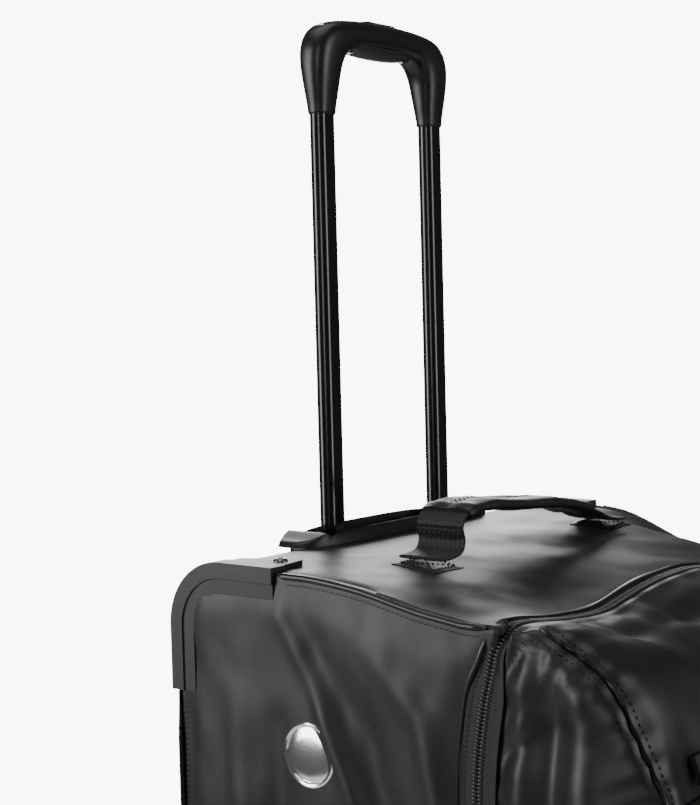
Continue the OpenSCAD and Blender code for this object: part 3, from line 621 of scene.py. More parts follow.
class Finishes:
    """All finishes of the bag."""

    fabric = Finish("coated_fabric", Kind.CLOTH, (0.0068, 0.0057, 0.0061), 0.45, texture=1500.0,
                    depth=0.00001, crinkle=0.00005, sheen=0.02, specular=0.5, scuff=0.02, dust=0.02)
    board = Finish("fabric_board", Kind.CLOTH, (0.02, 0.02, 0.021), 0.62, texture=900.0, depth=0.0001,
                   sheen=0.05, scuff=0.1)
    moulded = Finish("moulded_black", Kind.PLASTIC, (0.0050, 0.0050, 0.0052), 0.38, texture=1100.0,
                     depth=0.00005, scuff=0.2)
    guard = Finish("guard_plastic", Kind.PLASTIC, (0.0095, 0.0093, 0.0090), 0.46, texture=1500.0, depth=0.00009,
                   scuff=0.10)
    grip = Finish("grip_plastic", Kind.PLASTIC, (0.0045, 0.0044, 0.0046), 0.36, texture=2200.0, depth=0.00002,
                  scuff=0.03)
    button = Finish("button_plastic", Kind.PLASTIC, (0.0030, 0.0030, 0.0031), 0.22, texture=1600.0,
                    depth=0.00001, scuff=0.03)
    bearing = Finish("bearing_plastic", Kind.PLASTIC, (0.45, 0.43, 0.39), 0.4, scuff=0.05)
    tube = Finish("tube_black", Kind.PLASTIC, (0.0030, 0.0030, 0.0031), 0.20, texture=300.0, depth=0.0000005,
                  coat=0.15, specular=0.5, scuff=0.02, tone=0.1)
    tube_raw = Finish("tube_raw", Kind.METAL, (0.32, 0.32, 0.33), 0.35, depth=0.00001)
    steel = Finish("steel", Kind.METAL, (0.50, 0.50, 0.51), 0.28, depth=0.00001)
    screw = Finish("screw_dark", Kind.METAL, (0.16, 0.16, 0.165), 0.24, depth=0.00001)
    gloss = Finish("piping_gloss", Kind.PLASTIC, (0.0030, 0.0030, 0.0031), 0.30, texture=600.0, depth=0.00002,
                   coat=0.05, specular=0.4, scuff=0.03)
    tape = Finish("zip_tape", Kind.CLOTH, (0.0080, 0.0076, 0.0074), 0.62, texture=1300.0, depth=0.00008,
                  sheen=0.03, scuff=0.03)
    coil = Finish("zip_coil", Kind.PLASTIC, (0.050, 0.049, 0.047), 0.24, texture=900.0, depth=0.00001,
                  specular=0.7, scuff=0.1)
    webbing = Finish("webbing", Kind.CLOTH, (0.0065, 0.0060, 0.0056), 0.62, texture=520.0, depth=0.00035,
                     sheen=0.03, scuff=0.04)
    zip_metal = Finish("zip_metal", Kind.METAL, (0.20, 0.20, 0.205), 0.27, depth=0.00001, scuff=0.2)
    rubber = Finish("tyre_rubber", Kind.PLASTIC, (0.0060, 0.0060, 0.0062), 0.6, depth=0.00006, scuff=0.4,
                    dust=0.08)
    hub = Finish("hub_plastic", Kind.PLASTIC, (0.020, 0.020, 0.021), 0.42, depth=0.00003, scuff=0.2)
    badge = Finish("badge_chrome", Kind.METAL, (0.78, 0.78, 0.79), 0.14, texture=500.0, depth=0.000004,
                   scuff=0.05, tone=0.05)


# ---------------------------------------------------------------- pieces


def piece(name: str, bm: BMesh, finish: Finish, body: str | None, nodes: Sequence[str] = (),
          angle: float = 38.0) -> Object:
    """Turns a mesh into a finished piece that rides on a body.

    Args:
        name: Name of the piece.
        bm: Its mesh, which is freed.
        finish: Its finish.
        body: CAD body that it rides on; None leaves that to the caller.
        nodes: CAD nodes that it stands for.
        angle: Edges sharper than this many degrees stay sharp.

    Returns:
        The new object.
    """
    mesh = bpy.data.meshes.new(name)
    bm.to_mesh(mesh)
    bm.free()
    mesh.materials.append(finish.material())
    mesh.shade_smooth()
    mesh.set_sharp_from_angle(angle=math.radians(angle))
    obj = bpy.data.objects.new(name, mesh)
    bpy.context.scene.collection.objects.link(obj)
    if nodes:
        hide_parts(*nodes)
    if body:
        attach(obj, body)
    log.info("%s: %d faces, stands for %s", name, len(mesh.polygons), list(nodes))
    return obj


def dress_node(node: str, finish: Finish) -> None:
    """Gives a CAD node that stays in view its finish."""
    obj = frame["nodes"][node]
    if not obj.material_slots:
        obj.data.materials.append(None)
    for place in obj.material_slots:
        place.material = finish.material()


def softened(node: str, finish: Finish, radius: float, only: Callable[[BMEdge], bool] | None = None,
             segments: int = 2) -> Object:
    """Makes a copy of a CAD node with its sharp edges rounded, to stand for the node.

    Args:
        node: CAD node to copy.
        finish: Finish of the new piece.
        radius: Rounding in metres.
        only: Says which sharp edges are rounded.
        segments: Steps across a rounding.

    Returns:
        The new piece.
    """
    bm = bmesh.new()
    bm.from_mesh(frame["nodes"][node].data)
    bmesh.ops.remove_doubles(bm, verts=bm.verts, dist=1e-5)
    bmesh.ops.dissolve_limit(bm, angle_limit=math.radians(0.8), verts=bm.verts, edges=bm.edges)
    sharp = [e for e in bm.edges if e.is_manifold and e.calc_face_angle(0.0) > math.radians(32)
             and (only is None or only(e))]
    bmesh.ops.bevel(bm, geom=sharp, offset=radius, offset_type="OFFSET", affect="EDGES", segments=segments,
                    profile=0.5, material=-1, clamp_overlap=True)
    bmesh.ops.triangulate(bm, faces=[f for f in bm.faces if len(f.verts) > 4])
    obj = piece(node + "_rounded", bm, finish, frame["nodes"][node]["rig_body"], [node])
    keep = obj.modifiers.new("even_normals", "WEIGHTED_NORMAL")
    keep.keep_sharp = True
    return obj


def cut_away(obj: Object, tool: BMesh) -> None:
    """Cuts a closed shape out of a piece, and frees the shape."""
    mesh = bpy.data.meshes.new("cutter")
    tool.to_mesh(mesh)
    tool.free()
    cutter = bpy.data.objects.new("cutter", mesh)
    bpy.context.scene.collection.objects.link(cutter)
    cut = obj.modifiers.new("cut", "BOOLEAN")
    cut.operation, cut.object, cut.solver = "DIFFERENCE", cutter, "EXACT"
    done = evaluated(obj)
    obj.modifiers.remove(cut)
    obj.data = done
    done.set_sharp_from_angle(angle=math.radians(50))
    bpy.data.objects.remove(cutter)


# ---------------------------------------------------------------- shape of the bag


@dataclass(frozen=True)
class BagShape:
    """Sizes and outlines that several sub-assemblies share, in metres."""

    half_w: float = 0.200
    back_y: float = 0.182
    top: float = 0.798
    base_top: float = 0.062
    corner: float = 0.042
    level_y: float = 0.069
    fall: float = 0.022
    zip_top_y: float = -0.078
    zip_top_z: float = 0.776
    hinge_y: float = -0.169
    zip_y: float = -0.060
    zip_low_z: float = 0.262
    lean_z: float = 0.676
    shoulder_z: float = 0.560
    belly_z: float = 0.202

    def crest(self, x: float) -> float:
        """Returns how far the soft top edge at the zip lies above its even line."""
        wave = 0.0045 * math.cos(math.tau * (x + self.half_w) / 0.2) * ease(0.13, 0.02, x)
        return wave + 0.004 * bump(0.07, 0.06, x) - 0.016 * ease(0.10, self.half_w, x)

    def panel_z(self, x: float, y: float) -> float:
        """Returns the height of the soft top panel at a place."""
        rise = self.top - self.fall * (max(0.0, self.level_y - y) / (self.level_y - self.zip_top_y)) ** 1.4
        front = ease(0.03, self.zip_top_y, y)
        left_drop = 0.0045 * ease(0.03, -0.03, y) * ease(-0.14, -self.half_w, x) * ease(-0.078, -0.05, y)
        right_drop = 0.019 * bump(0.005, 0.048, y) * ease(0.12, self.half_w, x)
        dents = 0.0022 * swell(Vector((x, y, 0.0)), 0.055, 3.0) * ease(self.half_w, 0.16, abs(x))
        return rise + self.crest(x) * front - left_drop - right_drop + dents * ease(0.128, 0.06, y)

    def side_seam(self, side: int) -> list[Vector]:
        """Returns the main zip's line on one side, from the hinge up to the top corner."""
        x = side * self.half_w
        line = [Vector((x, self.hinge_y + 0.109 * math.cos(math.radians(a)),
                        self.zip_low_z - 0.2 * math.sin(math.radians(a)))) for a in range(90, -1, -6)]
        steps = 10
        for i in range(steps + 1):
            t = i / steps
            line.append(Vector((x, self.zip_y - 0.018 * t ** 1.7, self.lean_z + 0.1 * t)))
        return line

    def side_line(self, side: int) -> list[Vector]:
        """Returns a side's zip line with its top drawn to the sagging top panel's corner."""
        line = self.side_seam(side)
        drop = self.panel_z(side * self.half_w, self.zip_top_y) - self.zip_top_z
        for p in line:
            p.z += drop * ease(0.64, self.zip_top_z, p.z)
        return line

    def zip_line(self) -> Path:
        """Returns the whole main zip, up the left side, across the top and down the right side."""
        bend, steps = 0.017, 9
        halves = []
        for side in (-1, 1):
            line = self.side_line(side)
            edge = self.panel_z(side * (self.half_w - bend), self.zip_top_y)
            while line[-1].z > edge - bend:
                line.pop()
            start = line[-1].y
            for i in range(steps + 1):
                t = math.radians(90 * i / steps)
                line.append(Vector((side * (self.half_w - bend * (1 - math.cos(t))),
                                    start + (self.zip_top_y - start) * math.sin(t),
                                    edge - bend * (1 - math.sin(t)))))
            halves.append(line)
        left, right = halves
        count = 40
        reach = 2 * (self.half_w - bend)
        xs = [reach * (i / count - 0.5) for i in range(1, count)]
        top = [Vector((x, self.zip_top_y, self.panel_z(x, self.zip_top_y))) for x in xs]
        return Path([*left, *top, *reversed(right)])

    def lid_line(self) -> Path:
        """Returns the lid's outer line in the middle plane, from the zip over the shoulder to the hinge."""
        line = []
        for i in range(31):
            a = math.radians(3 * i)
            line.append((0.0, self.zip_top_y - 0.0003 - 0.1147 * math.sin(a) ** 0.8,
                         self.shoulder_z + 0.216 * math.cos(a) ** 0.8))
        for i in range(31):
            a = math.radians(90 - 3 * i)
            line.append((0.0, self.hinge_y - 0.024 * math.sin(a), self.belly_z - 0.1397 * math.cos(a)))
        return Path(line)

    def top_edge(self, side: int) -> list[Vector]:
        """Returns a side's top edge from the zip to the back, down to the end of the rounded corner."""
        x = side * self.half_w
        reach = self.back_y - self.corner - self.zip_top_y
        steps = 24
        line = [Vector((x, self.zip_top_y + reach * i / steps,
                        self.panel_z(x, self.zip_top_y + reach * i / steps))) for i in range(steps + 1)]
        for a in range(80, -1, -10):
            t = math.radians(a)
            line.append(Vector((x, self.back_y - self.corner * (1 - math.cos(t)),
                                self.top - self.corner * (1 - math.sin(t)))))
        return line


SHAPE = BagShape()


@dataclass
class ZipStation:
    """One place along the main zip: its middle, direction, outward normal and the way to the body."""

    spot: Vector
    along: Vector
    out: Vector
    back: Vector
    on_top: float


def zip_stations(count: int) -> list[ZipStation]:
    """Returns evenly spaced stations along the main zip, from the left hinge to the right hinge."""
    line = SHAPE.zip_line()
    stations = []
    for i in range(count + 1):
        share = i / count
        along = line.tangent(share)
        spot = line.at(share)
        back = Vector((0, 1, 0))
        if abs(spot.x) > SHAPE.half_w - 0.0005 or spot.z < SHAPE.lean_z:
            out = Vector((math.copysign(1, spot.x), 0, 0))
        else:
            out = along.cross(back).normalized()
        back = out.cross(along).normalized()
        stations.append(ZipStation(spot, along, out, back, ease(0.735, 0.768, spot.z)))
    return stations


@dataclass
class MainZip:
    """The main zip: two tapes, two rows of coil teeth and the bound edge on the body's side."""

    tape_w: float = 0.0125
    tape_t: float = 0.0009
    pitch: float = 0.0023
    teeth_in: float = 0.0019

    def ribbon(self, bm: BMesh, near: float, far: float, lift: Callable[[float, float], float],
               across: int = 5, along: int = 420) -> None:
        """Adds a strip beside the zip's middle line.

        Args:
            bm: Mesh that takes the strip.
            near: Distance of the near edge from the middle; below 0 is on the lid's side.
            far: Distance of the far edge.
            lift: Height above the fabric at a share across and a share along.
            across: Faces across the strip.
            along: Faces along the strip.
        """
        stations = zip_stations(along)

        def place(u: float, v: float) -> Vector:
            at = stations[round(v * along)]
            reach = (near + (far - near) * u) * (1 - 0.5 * at.on_top)
            return at.spot + at.back * reach + at.out * (lift(u, v) - 0.0016 * at.on_top)

        sheet = bmesh.new()
        mapped_grid(sheet, across, along, place)
        face_towards(sheet, lambda c: Vector((c.x * 4 if abs(c.x) > 0.19 else 0, 0, 1 if c.z > 0.76 else 0)))
        bmesh.ops.solidify(sheet, geom=sheet.faces[:], thickness=self.tape_t)
        bmesh.ops.recalc_face_normals(sheet, faces=sheet.faces)
        merge_into(bm, sheet)

    def build(self) -> None:
        """Builds both halves of the zip."""
        for half, sign, body in (("body", 1, "bag"), ("lid", -1, "lid")):
            bm = bmesh.new()
            self.ribbon(bm, sign * 0.0004, sign * self.tape_w,
                        lambda u, v: 0.0013 + 0.00035 * math.sin(u * 19.0))
            piece(f"main_zip_tape_{half}", bm, Finishes.tape, body, [f"zip_tape_{half}"])
            bm = bmesh.new()
            count = int(SHAPE.zip_line().length / self.pitch)
            spots = []
            for at in zip_stations(count)[6:-6]:
                spots.append((at.spot + at.back * (sign * self.teeth_in)
                              + at.out * (0.0022 - 0.0016 * at.on_top),
                              at.back + at.along * 0.18 * sign, at.out))
            add_beads(bm, spots, MAIN_TOOTH)
            piece(f"main_zip_coil_{half}", bm, Finishes.coil, body, [f"zip_coil_{half}"], angle=80)
        self.build_edges()

    def build_edges(self) -> None:
        """Builds the bound fabric edge behind the tape and the stitching in the body's tape."""
        along = 460
        stations = zip_stations(along)
        bm = bmesh.new()
        line = Path([at.spot + at.back * (0.0138 - 0.0060 * at.on_top) + at.out * 0.0012 for at in stations])
        add_tube(bm, line, along, lambda s: 0.0017 + 0.0008 * pick(stations, s).on_top
                 * (1 + 0.5 * math.sin(s * 170.0)), 8,
                 up=lambda s: pick(stations, s).out, flat=0.75)
        piece("zip_binding_body", bm, Finishes.gloss, "bag")
        bm = bmesh.new()
        count = 640
        places = zip_stations(count)[4:-4]
        add_beads(bm, [(at.spot + at.back * (0.0098 - 0.0046 * at.on_top)
                        + at.out * (0.0023 - 0.0016 * at.on_top), at.along, at.out) for at in places],
                  TAPE_STITCH)
        piece("zip_stitching_body", bm, Finishes.tape, "bag")


@dataclass
class RearShell:
    """The rear compartment's fabric: two side panels and one panel over the top and down the back."""

    wall: float = 0.004
    well_x: float = 0.0945
    well_front: float = 0.1342
    well_back: float = 0.1778
    wheel_y: float = 0.150
    wheel_z: float = 0.046
    fender: float = 0.0485
    guard_y: float = 0.092
    guard_z: float = 0.7115

    def side_folds(self, side: int) -> list[Fold]:
        """Returns the soft folds of a side panel."""
        x = side * SHAPE.half_w
        return [
            Fold(((x, 0.128, 0.715), (x, 0.118, 0.60), (x, 0.122, 0.42), (x, 0.118, 0.22)), 0.012, 0.0042),
            Fold(((x, 0.092, 0.700), (x, 0.086, 0.56), (x, 0.090, 0.40)), 0.011, -0.0040),
            Fold(((x, 0.088, 0.772), (x, 0.062, 0.735), (x, 0.028, 0.66), (x, 0.004, 0.56), (x, 0.0, 0.46)),
                 0.0065, 0.0042),
            Fold(((x, 0.070, 0.764), (x, 0.020, 0.700), (x, -0.014, 0.60), (x, -0.022, 0.50)), 0.015, -0.0048),
            Fold(((x, 0.016, 0.757), (x, -0.022, 0.72), (x, -0.038, 0.65), (x, -0.040, 0.55)), 0.009, 0.0032),
            Fold(((x, 0.060, 0.60), (x, 0.020, 0.50), (x, -0.028, 0.42)), 0.013, 0.0036),
            Fold(((x, 0.085, 0.52), (x, 0.040, 0.42), (x, -0.020, 0.34), (x, -0.050, 0.30)), 0.014, -0.0036),
            Fold(((x, 0.100, 0.44), (x, 0.055, 0.34), (x, -0.010, 0.26)), 0.016, 0.0040),
            Fold(((x, 0.120, 0.32), (x, 0.050, 0.22), (x, -0.060, 0.16)), 0.018, -0.0038),
            Fold(((x, 0.090, 0.18), (x, -0.010, 0.13), (x, -0.100, 0.12)), 0.014, 0.0035),
        ]

    def build_side(self, side: int) -> None:
        """Builds one side panel with its folds.

        Args:
            side: 1 for the right side, -1 for the left.
        """
        x = side * SHAPE.half_w
        front = Path(SHAPE.side_line(side))
        top = Path([front.points[-1], *SHAPE.top_edge(side)[1:]])
        base = Path([front.points[0], Vector((x, SHAPE.back_y, SHAPE.base_top))])
        rear = Path([Vector((x, SHAPE.back_y, SHAPE.base_top)), top.points[-1]])

        def place(u: float, v: float) -> Vector:
            edge = base.at(u) * (1 - v) + top.at(u) * v + front.at(v) * (1 - u) + rear.at(v) * u
            corner = (front.at(0) * (1 - u) * (1 - v) + base.at(1) * u * (1 - v)
                      + front.at(1) * (1 - u) * v + top.at(1) * u * v)
            return edge - corner

        bm = bmesh.new()
        mapped_grid(bm, 64, 150, place)
        gone = [f for f in bm.faces if (f.calc_center_median() - Vector((x, self.wheel_y, self.wheel_z))).length
                < self.fender]
        bmesh.ops.delete(bm, geom=gone, context="FACES")
        face_towards(bm, lambda c: Vector((side, 0, 0)))
        folds = self.side_folds(side)
        rim = Path([*front.points, *top.points[1:], *reversed(rear.points[:-1]), *reversed(base.points[:-1])])

        def push(spot: Vector, _: Vector) -> float:
            edge = ease(0.0, 0.030, rim.away(spot)[0])
            swelling = 0.0035 * edge + 0.0022 * swell(spot, 0.09, 1.5 + side) * edge
            ripple = 0.0007 * swell(Vector((0, spot.y * 2.2, spot.z)), 0.03, 7.0)
            return swelling + (folds_push(folds, spot) + ripple) * ease(0.0, 0.012, rim.away(spot)[0])

        displaced(bm, push)
        obj = piece(f"side_fabric_{'right' if side > 0 else 'left'}", bm, Finishes.fabric, "bag",
                    [f"side_panel_{'right' if side > 0 else 'left'}"], angle=60)
        self.thicken(obj, self.wall)

    def thicken(self, obj: Object, wall: float) -> None:
        """Gives a fabric sheet its thickness inwards."""
        thick = obj.modifiers.new("wall", "SOLIDIFY")
        thick.thickness, thick.offset = wall, -1.0

    def build_spine(self) -> None:
        """Builds the fabric that runs over the top and down the back, with the well cut out."""
        half = SHAPE.half_w - 0.0006
        top = SHAPE.top_edge(1)
        line = Path([Vector((0, p.y, p.z)) for p in top] + [Vector((0, SHAPE.back_y, SHAPE.base_top))])

        def place(u: float, v: float) -> Vector:
            at = line.at(v)
            x = (2 * u - 1) * half
            z = SHAPE.panel_z(x, at.y) if at.y < SHAPE.back_y - SHAPE.corner - 1e-5 else at.z
            round_off = 0.0022 * ease(half - 0.008, half, abs(x))
            return Vector((x, at.y, z - round_off)) if at.z > 0.775 else Vector((x, at.y - round_off, z))

        bm = bmesh.new()
        mapped_grid(bm, 90, 190, place)
        for plane, way in (((self.well_x, 0, 0), (1, 0, 0)), ((-self.well_x, 0, 0), (1, 0, 0)),
                           ((0, self.well_front, 0), (0, 1, 0)), ((0, self.well_back, 0), (0, 1, 0))):
            bmesh.ops.bisect_plane(bm, geom=bm.verts[:] + bm.edges[:] + bm.faces[:], plane_co=plane,
                                   plane_no=way, dist=1e-6)
        gone = []
        for f in bm.faces:
            c = f.calc_center_median()
            in_well = abs(c.x) < self.well_x and self.well_front < c.y < self.well_back and c.z > 0.76
            wheel = abs(c.x) > 0.163 and c.z < self.wheel_z + 0.045 and c.y > 0.1
            if in_well or wheel:
                gone.append(f)
        bmesh.ops.delete(bm, geom=gone, context="FACES")
        face_towards(bm, lambda c: Vector((0, 1, 1)))

        def push(spot: Vector, _: Vector) -> float:
            if spot.z > 0.765:
                return 0.0006 * swell(spot, 0.02, 5.0) * ease(0.128, 0.11, spot.y)
            edge = ease(half, 0.165, abs(spot.x)) * ease(SHAPE.base_top, 0.10, spot.z) * ease(0.77, 0.71, spot.z)
            quilt = 0.0035 * (math.cos(spot.x * math.tau / 0.28) * 0.5 + 0.5)
            return edge * (quilt + 0.0016 * swell(spot, 0.08, 2.0))

        displaced(bm, push)
        obj = piece("spine_fabric", bm, Finishes.fabric, "bag", ["top_panel", "back_panel"], angle=60)
        self.thicken(obj, self.wall)

    def build_trim(self) -> None:
        """Builds the piping and stitching along the side panels' edges."""
        for side, name in ((-1, "left"), (1, "right")):
            x = side * (SHAPE.half_w + 0.0010)
            upper = [Vector((x, p.y, p.z - 0.0016)) for p in SHAPE.top_edge(side)[1:]
                     if p.y < self.guard_y]
            lower = [Vector((x, SHAPE.back_y - 0.0016, self.guard_z - 0.02 * i)) for i in range(33)]
            tubes, threads = bmesh.new(), bmesh.new()
            for line, inward in ((Path(upper), Vector((0, 0, -1))), (Path(lower), Vector((0, -1, 0)))):
                add_tube(tubes, line, 200, lambda s: 0.0022 * (0.45 + 0.55 * ease(0.0, 0.06, s)), 10,
                         up=lambda _, s=side: Vector((s, 0.1, 0.1)))
                count = int(line.length / 0.0036)
                add_beads(threads, [(line.at(i / count) + inward * 0.0052 + Vector((side * 0.0004, 0, 0)),
                                     line.tangent(i / count), Vector((side, 0, 0))) for i in range(2, count)],
                          EDGE_STITCH)
            piece(f"edge_piping_{name}", tubes, Finishes.gloss, "bag", [f"piping_{name}"])
            piece(f"edge_stitching_{name}", threads, Finishes.webbing, "bag")

    def build(self) -> None:
        """Builds the whole rear shell."""
        self.build_side(-1)
        self.build_side(1)
        self.build_spine()
        self.build_trim()


@dataclass
class PuffedLid:
    """The zip-open lid: one gathered, puffed shell with its seams and front pocket."""

    seam_x: float = 0.190
    zip_gap: float = 0.0118
    gusset_steps: int = 18
    front_steps: int = 56
    long_steps: int = 112
    cloth_grow: float = -0.035
    pressure: float = 3.2
    cap: float = 0.009
    smoothing: int = 10

    def rows(self) -> tuple[list[Vector], list[Vector], Path]:
        """Returns the lid's edge points along both sides of the zip, and the lid's line."""
        whole = SHAPE.zip_line()
        edges = []
        for side in (-1, 1):
            points = [p for p in whole.points if p.x * side > SHAPE.half_w - 0.005]
            points.sort(key=lambda p: -p.z)
            path = Path(points)
            line = []
            for i in range(self.long_steps + 1):
                share = i / self.long_steps
                t = path.tangent(share)
                gap = self.zip_gap * (0.55 + 0.45 * ease(0.0, 0.07, share))
                lid_way = Vector((side, 0, 0)).cross(t).normalized() * (gap * side)
                if lid_way.y > 0:
                    lid_way = -lid_way
                line.append(path.at(share) + lid_way * ease(1.0, 0.93, share)
                            - Vector((side * 0.0012, 0, 0)))
            edges.append(line)
        return edges[0], edges[1], SHAPE.lid_line()

    def start_mesh(self) -> BMesh:
        """Builds the lid's shell before it is puffed, slightly smaller than it ends."""
        left, right, line = self.rows()
        total = 2 * self.gusset_steps + self.front_steps
        share_g = self.gusset_steps / total

        def place(u: float, v: float) -> Vector:
            i = round(v * self.long_steps)
            at = line.at(v)
            inset = 0.004 * ease(0.0, 0.1, v) * ease(1.0, 0.93, v)
            front = Vector((0, at.y + inset, at.z))
            lift = 0.0065 * bump(0.07, 0.05, v) + 0.002 * ease(0.0, 0.02, v) * ease(0.3, 0.1, v)
            if share_g < u < 1 - share_g:
                w = (u - share_g) / (1 - 2 * share_g)
                x = (2 * w - 1) * self.seam_x
                z = front.z + lift * math.sin(math.pi * w) ** 0.4
                z += (SHAPE.panel_z(x, SHAPE.zip_top_y) - SHAPE.zip_top_z) * ease(0.16, 0.0, v)
                y = front.y - 0.55 * self.zip_gap * ease(0.06, 0.0, v)
                y -= 0.002 * math.sin(math.pi * w) ** 0.6 * ease(0.1, 0.35, v) * ease(1.0, 0.85, v)
                return Vector((x, y, z))
            side = -1 if u <= share_g else 1
            w = u / share_g if side < 0 else (1 - u) / share_g
            near = (left if side < 0 else right)[i]
            x = side * self.seam_x
            z = front.z + (SHAPE.panel_z(x, SHAPE.zip_top_y) - SHAPE.zip_top_z) * ease(0.16, 0.0, v)
            far = Vector((x, front.y - 0.55 * self.zip_gap * ease(0.06, 0.0, v), z))
            spot = near.lerp(far, w)
            spot.x = side * (SHAPE.half_w - 0.0012 + 0.003 * math.sin(math.pi * w) * min(1.0, 12 * v)
                             - (SHAPE.half_w - 0.0012 - self.seam_x) * max(0.0, (w - 0.75) * 4) ** 2)
            return spot

        bm = bmesh.new()
        mapped_grid(bm, total, self.long_steps, place)
        face_towards(bm, lambda c: Vector((c.x * 3, -1, 0.5)))
        return bm

    def hold(self, spot: Vector, seams: Sequence[Path]) -> float:
        """Returns how firmly the cloth is held near the lid's own seams."""
        near = min(seam.away(spot)[0] for seam in seams)
        return 0.75 * math.exp(-((near / 0.006) ** 2))

    def puffed(self, bm: BMesh) -> bpy.types.Mesh:
        """Lets the lid's cloth swell between its seams, and returns the resting mesh.

        Args:
            bm: The shell before it is puffed.

        Returns:
            The puffed mesh, with no point moved further than the cap.
        """
        mesh = bpy.data.meshes.new("lid_cloth")
        border = {v.index for v in bm.verts if v.is_boundary}
        bm.to_mesh(mesh)
        bm.free()
        obj = bpy.data.objects.new("lid_cloth", mesh)
        bpy.context.scene.collection.objects.link(obj)
        start = [v.co.copy() for v in mesh.vertices]
        line = SHAPE.lid_line()
        seams = [Path([(s * self.seam_x, p.y, p.z) for p in line.even(40)]) for s in (-1, 1)]
        cross = line.at(0.235)
        seams.append(Path([(-self.seam_x, cross.y, cross.z), (self.seam_x, cross.y, cross.z)]))
        pins = obj.vertex_groups.new(name="held")
        for i, spot in enumerate(start):
            pins.add([i], 1.0 if i in border else self.hold(spot, seams), "REPLACE")
        cloth = obj.modifiers.new("cloth", "CLOTH")
        set_ = cloth.settings
        set_.quality, set_.mass = 6, 0.3
        set_.tension_stiffness = set_.compression_stiffness = 12.0
        set_.shear_stiffness, set_.bending_stiffness = 4.0, 1.5
        set_.use_pressure, set_.uniform_pressure_force = True, self.pressure
        set_.shrink_min = self.cloth_grow
        set_.vertex_group_mass = "held"
        set_.effector_weights.gravity = 0.0
        cloth.collision_settings.use_collision = False
        cloth.point_cache.frame_start, cloth.point_cache.frame_end = 1, 24
        scene = bpy.context.scene
        for number in range(1, 25):
            scene.frame_set(number)
        done = evaluated(obj)
        scene.frame_set(1)
        moved = [v.co.copy() for v in done.vertices]
        bpy.data.meshes.remove(done)
        for vert, a, b in zip(mesh.vertices, start, moved):
            step = b - a
            far = step.length
            vert.co = a + step * (self.cap * math.tanh(far / self.cap) / far if far > 1e-9 else 0)
        bpy.data.objects.remove(obj)
        return mesh

    def folds(self) -> list[Fold]:
        """Returns the deep soft folds of the gussets and the front."""
        made = []
        for side in (-1, 1):
            x = side * 0.200
            made += [
                Fold(((x, -0.094, 0.756), (x, -0.092, 0.66), (x, -0.089, 0.52), (x, -0.088, 0.36)), 0.010, 0.0070),
                Fold(((x, -0.112, 0.745), (x, -0.110, 0.65), (x, -0.106, 0.50), (x, -0.108, 0.33)),
                     0.012, -0.0110),
                Fold(((x, -0.126, 0.744), (x, -0.138, 0.68), (x, -0.140, 0.57), (x, -0.138, 0.44)), 0.017, 0.0100),
                Fold(((x, -0.172, 0.668), (x, -0.160, 0.60), (x, -0.162, 0.48)), 0.013, -0.0075),
                Fold(((x, -0.090, 0.42), (x, -0.130, 0.36), (x, -0.180, 0.33)), 0.013, 0.0050),
                Fold(((x, -0.095, 0.34), (x, -0.140, 0.28), (x, -0.185, 0.27)), 0.011, -0.0045),
                Fold(((x, -0.120, 0.24), (x, -0.150, 0.20), (x, -0.186, 0.20)), 0.012, 0.0045),
            ]
        made += [
            Fold(((-0.188, -0.142, 0.752), (-0.10, -0.146, 0.745), (0.02, -0.142, 0.752), (0.15, -0.140, 0.75)),
                 0.011, 0.0040),
            Fold(((-0.17, -0.120, 0.768), (-0.05, -0.118, 0.768), (0.10, -0.120, 0.768)), 0.012, -0.0036),
            Fold(((-0.150, -0.090, 0.774), (-0.135, -0.120, 0.768), (-0.120, -0.150, 0.745)), 0.010, 0.0030),
            Fold(((-0.060, -0.090, 0.774), (-0.055, -0.125, 0.768), (-0.060, -0.150, 0.745)), 0.010, -0.0030),
            Fold(((0.05, -0.090, 0.774), (0.045, -0.125, 0.768), (0.03, -0.155, 0.740)), 0.012, 0.0030),
            Fold(((-0.19, -0.186, 0.66), (-0.12, -0.193, 0.62), (-0.06, -0.194, 0.60)), 0.012, 0.0035),
            Fold(((0.19, -0.186, 0.66), (0.12, -0.193, 0.62), (0.05, -0.194, 0.61)), 0.012, 0.0035),
        ]
        return made

    def build(self) -> None:
        """Builds the lid, its seams and its pocket."""
        mesh = self.puffed(self.start_mesh())
        bm = bmesh.new()
        bm.from_mesh(mesh)
        bpy.data.meshes.remove(mesh)
        bmesh.ops.subdivide_edges(bm, edges=bm.edges[:], cuts=1, use_grid_fill=True, smooth=0.0)
        for _ in range(self.smoothing):
            bmesh.ops.smooth_vert(bm, verts=[v for v in bm.verts if not v.is_boundary], factor=0.5,
                                  use_axis_x=True, use_axis_y=True, use_axis_z=True)
        line = SHAPE.lid_line()
        seams = [Path([(s * self.seam_x, p.y, p.z) for p in line.even(50)]) for s in (-1, 1)]
        zips = [Path([p for p in SHAPE.zip_line().points if p.x * s > SHAPE.half_w - 0.001]) for s in (-1, 1)]
        top = Path([p for p in SHAPE.zip_line().points if p.z > 0.74])
        folds = self.folds()

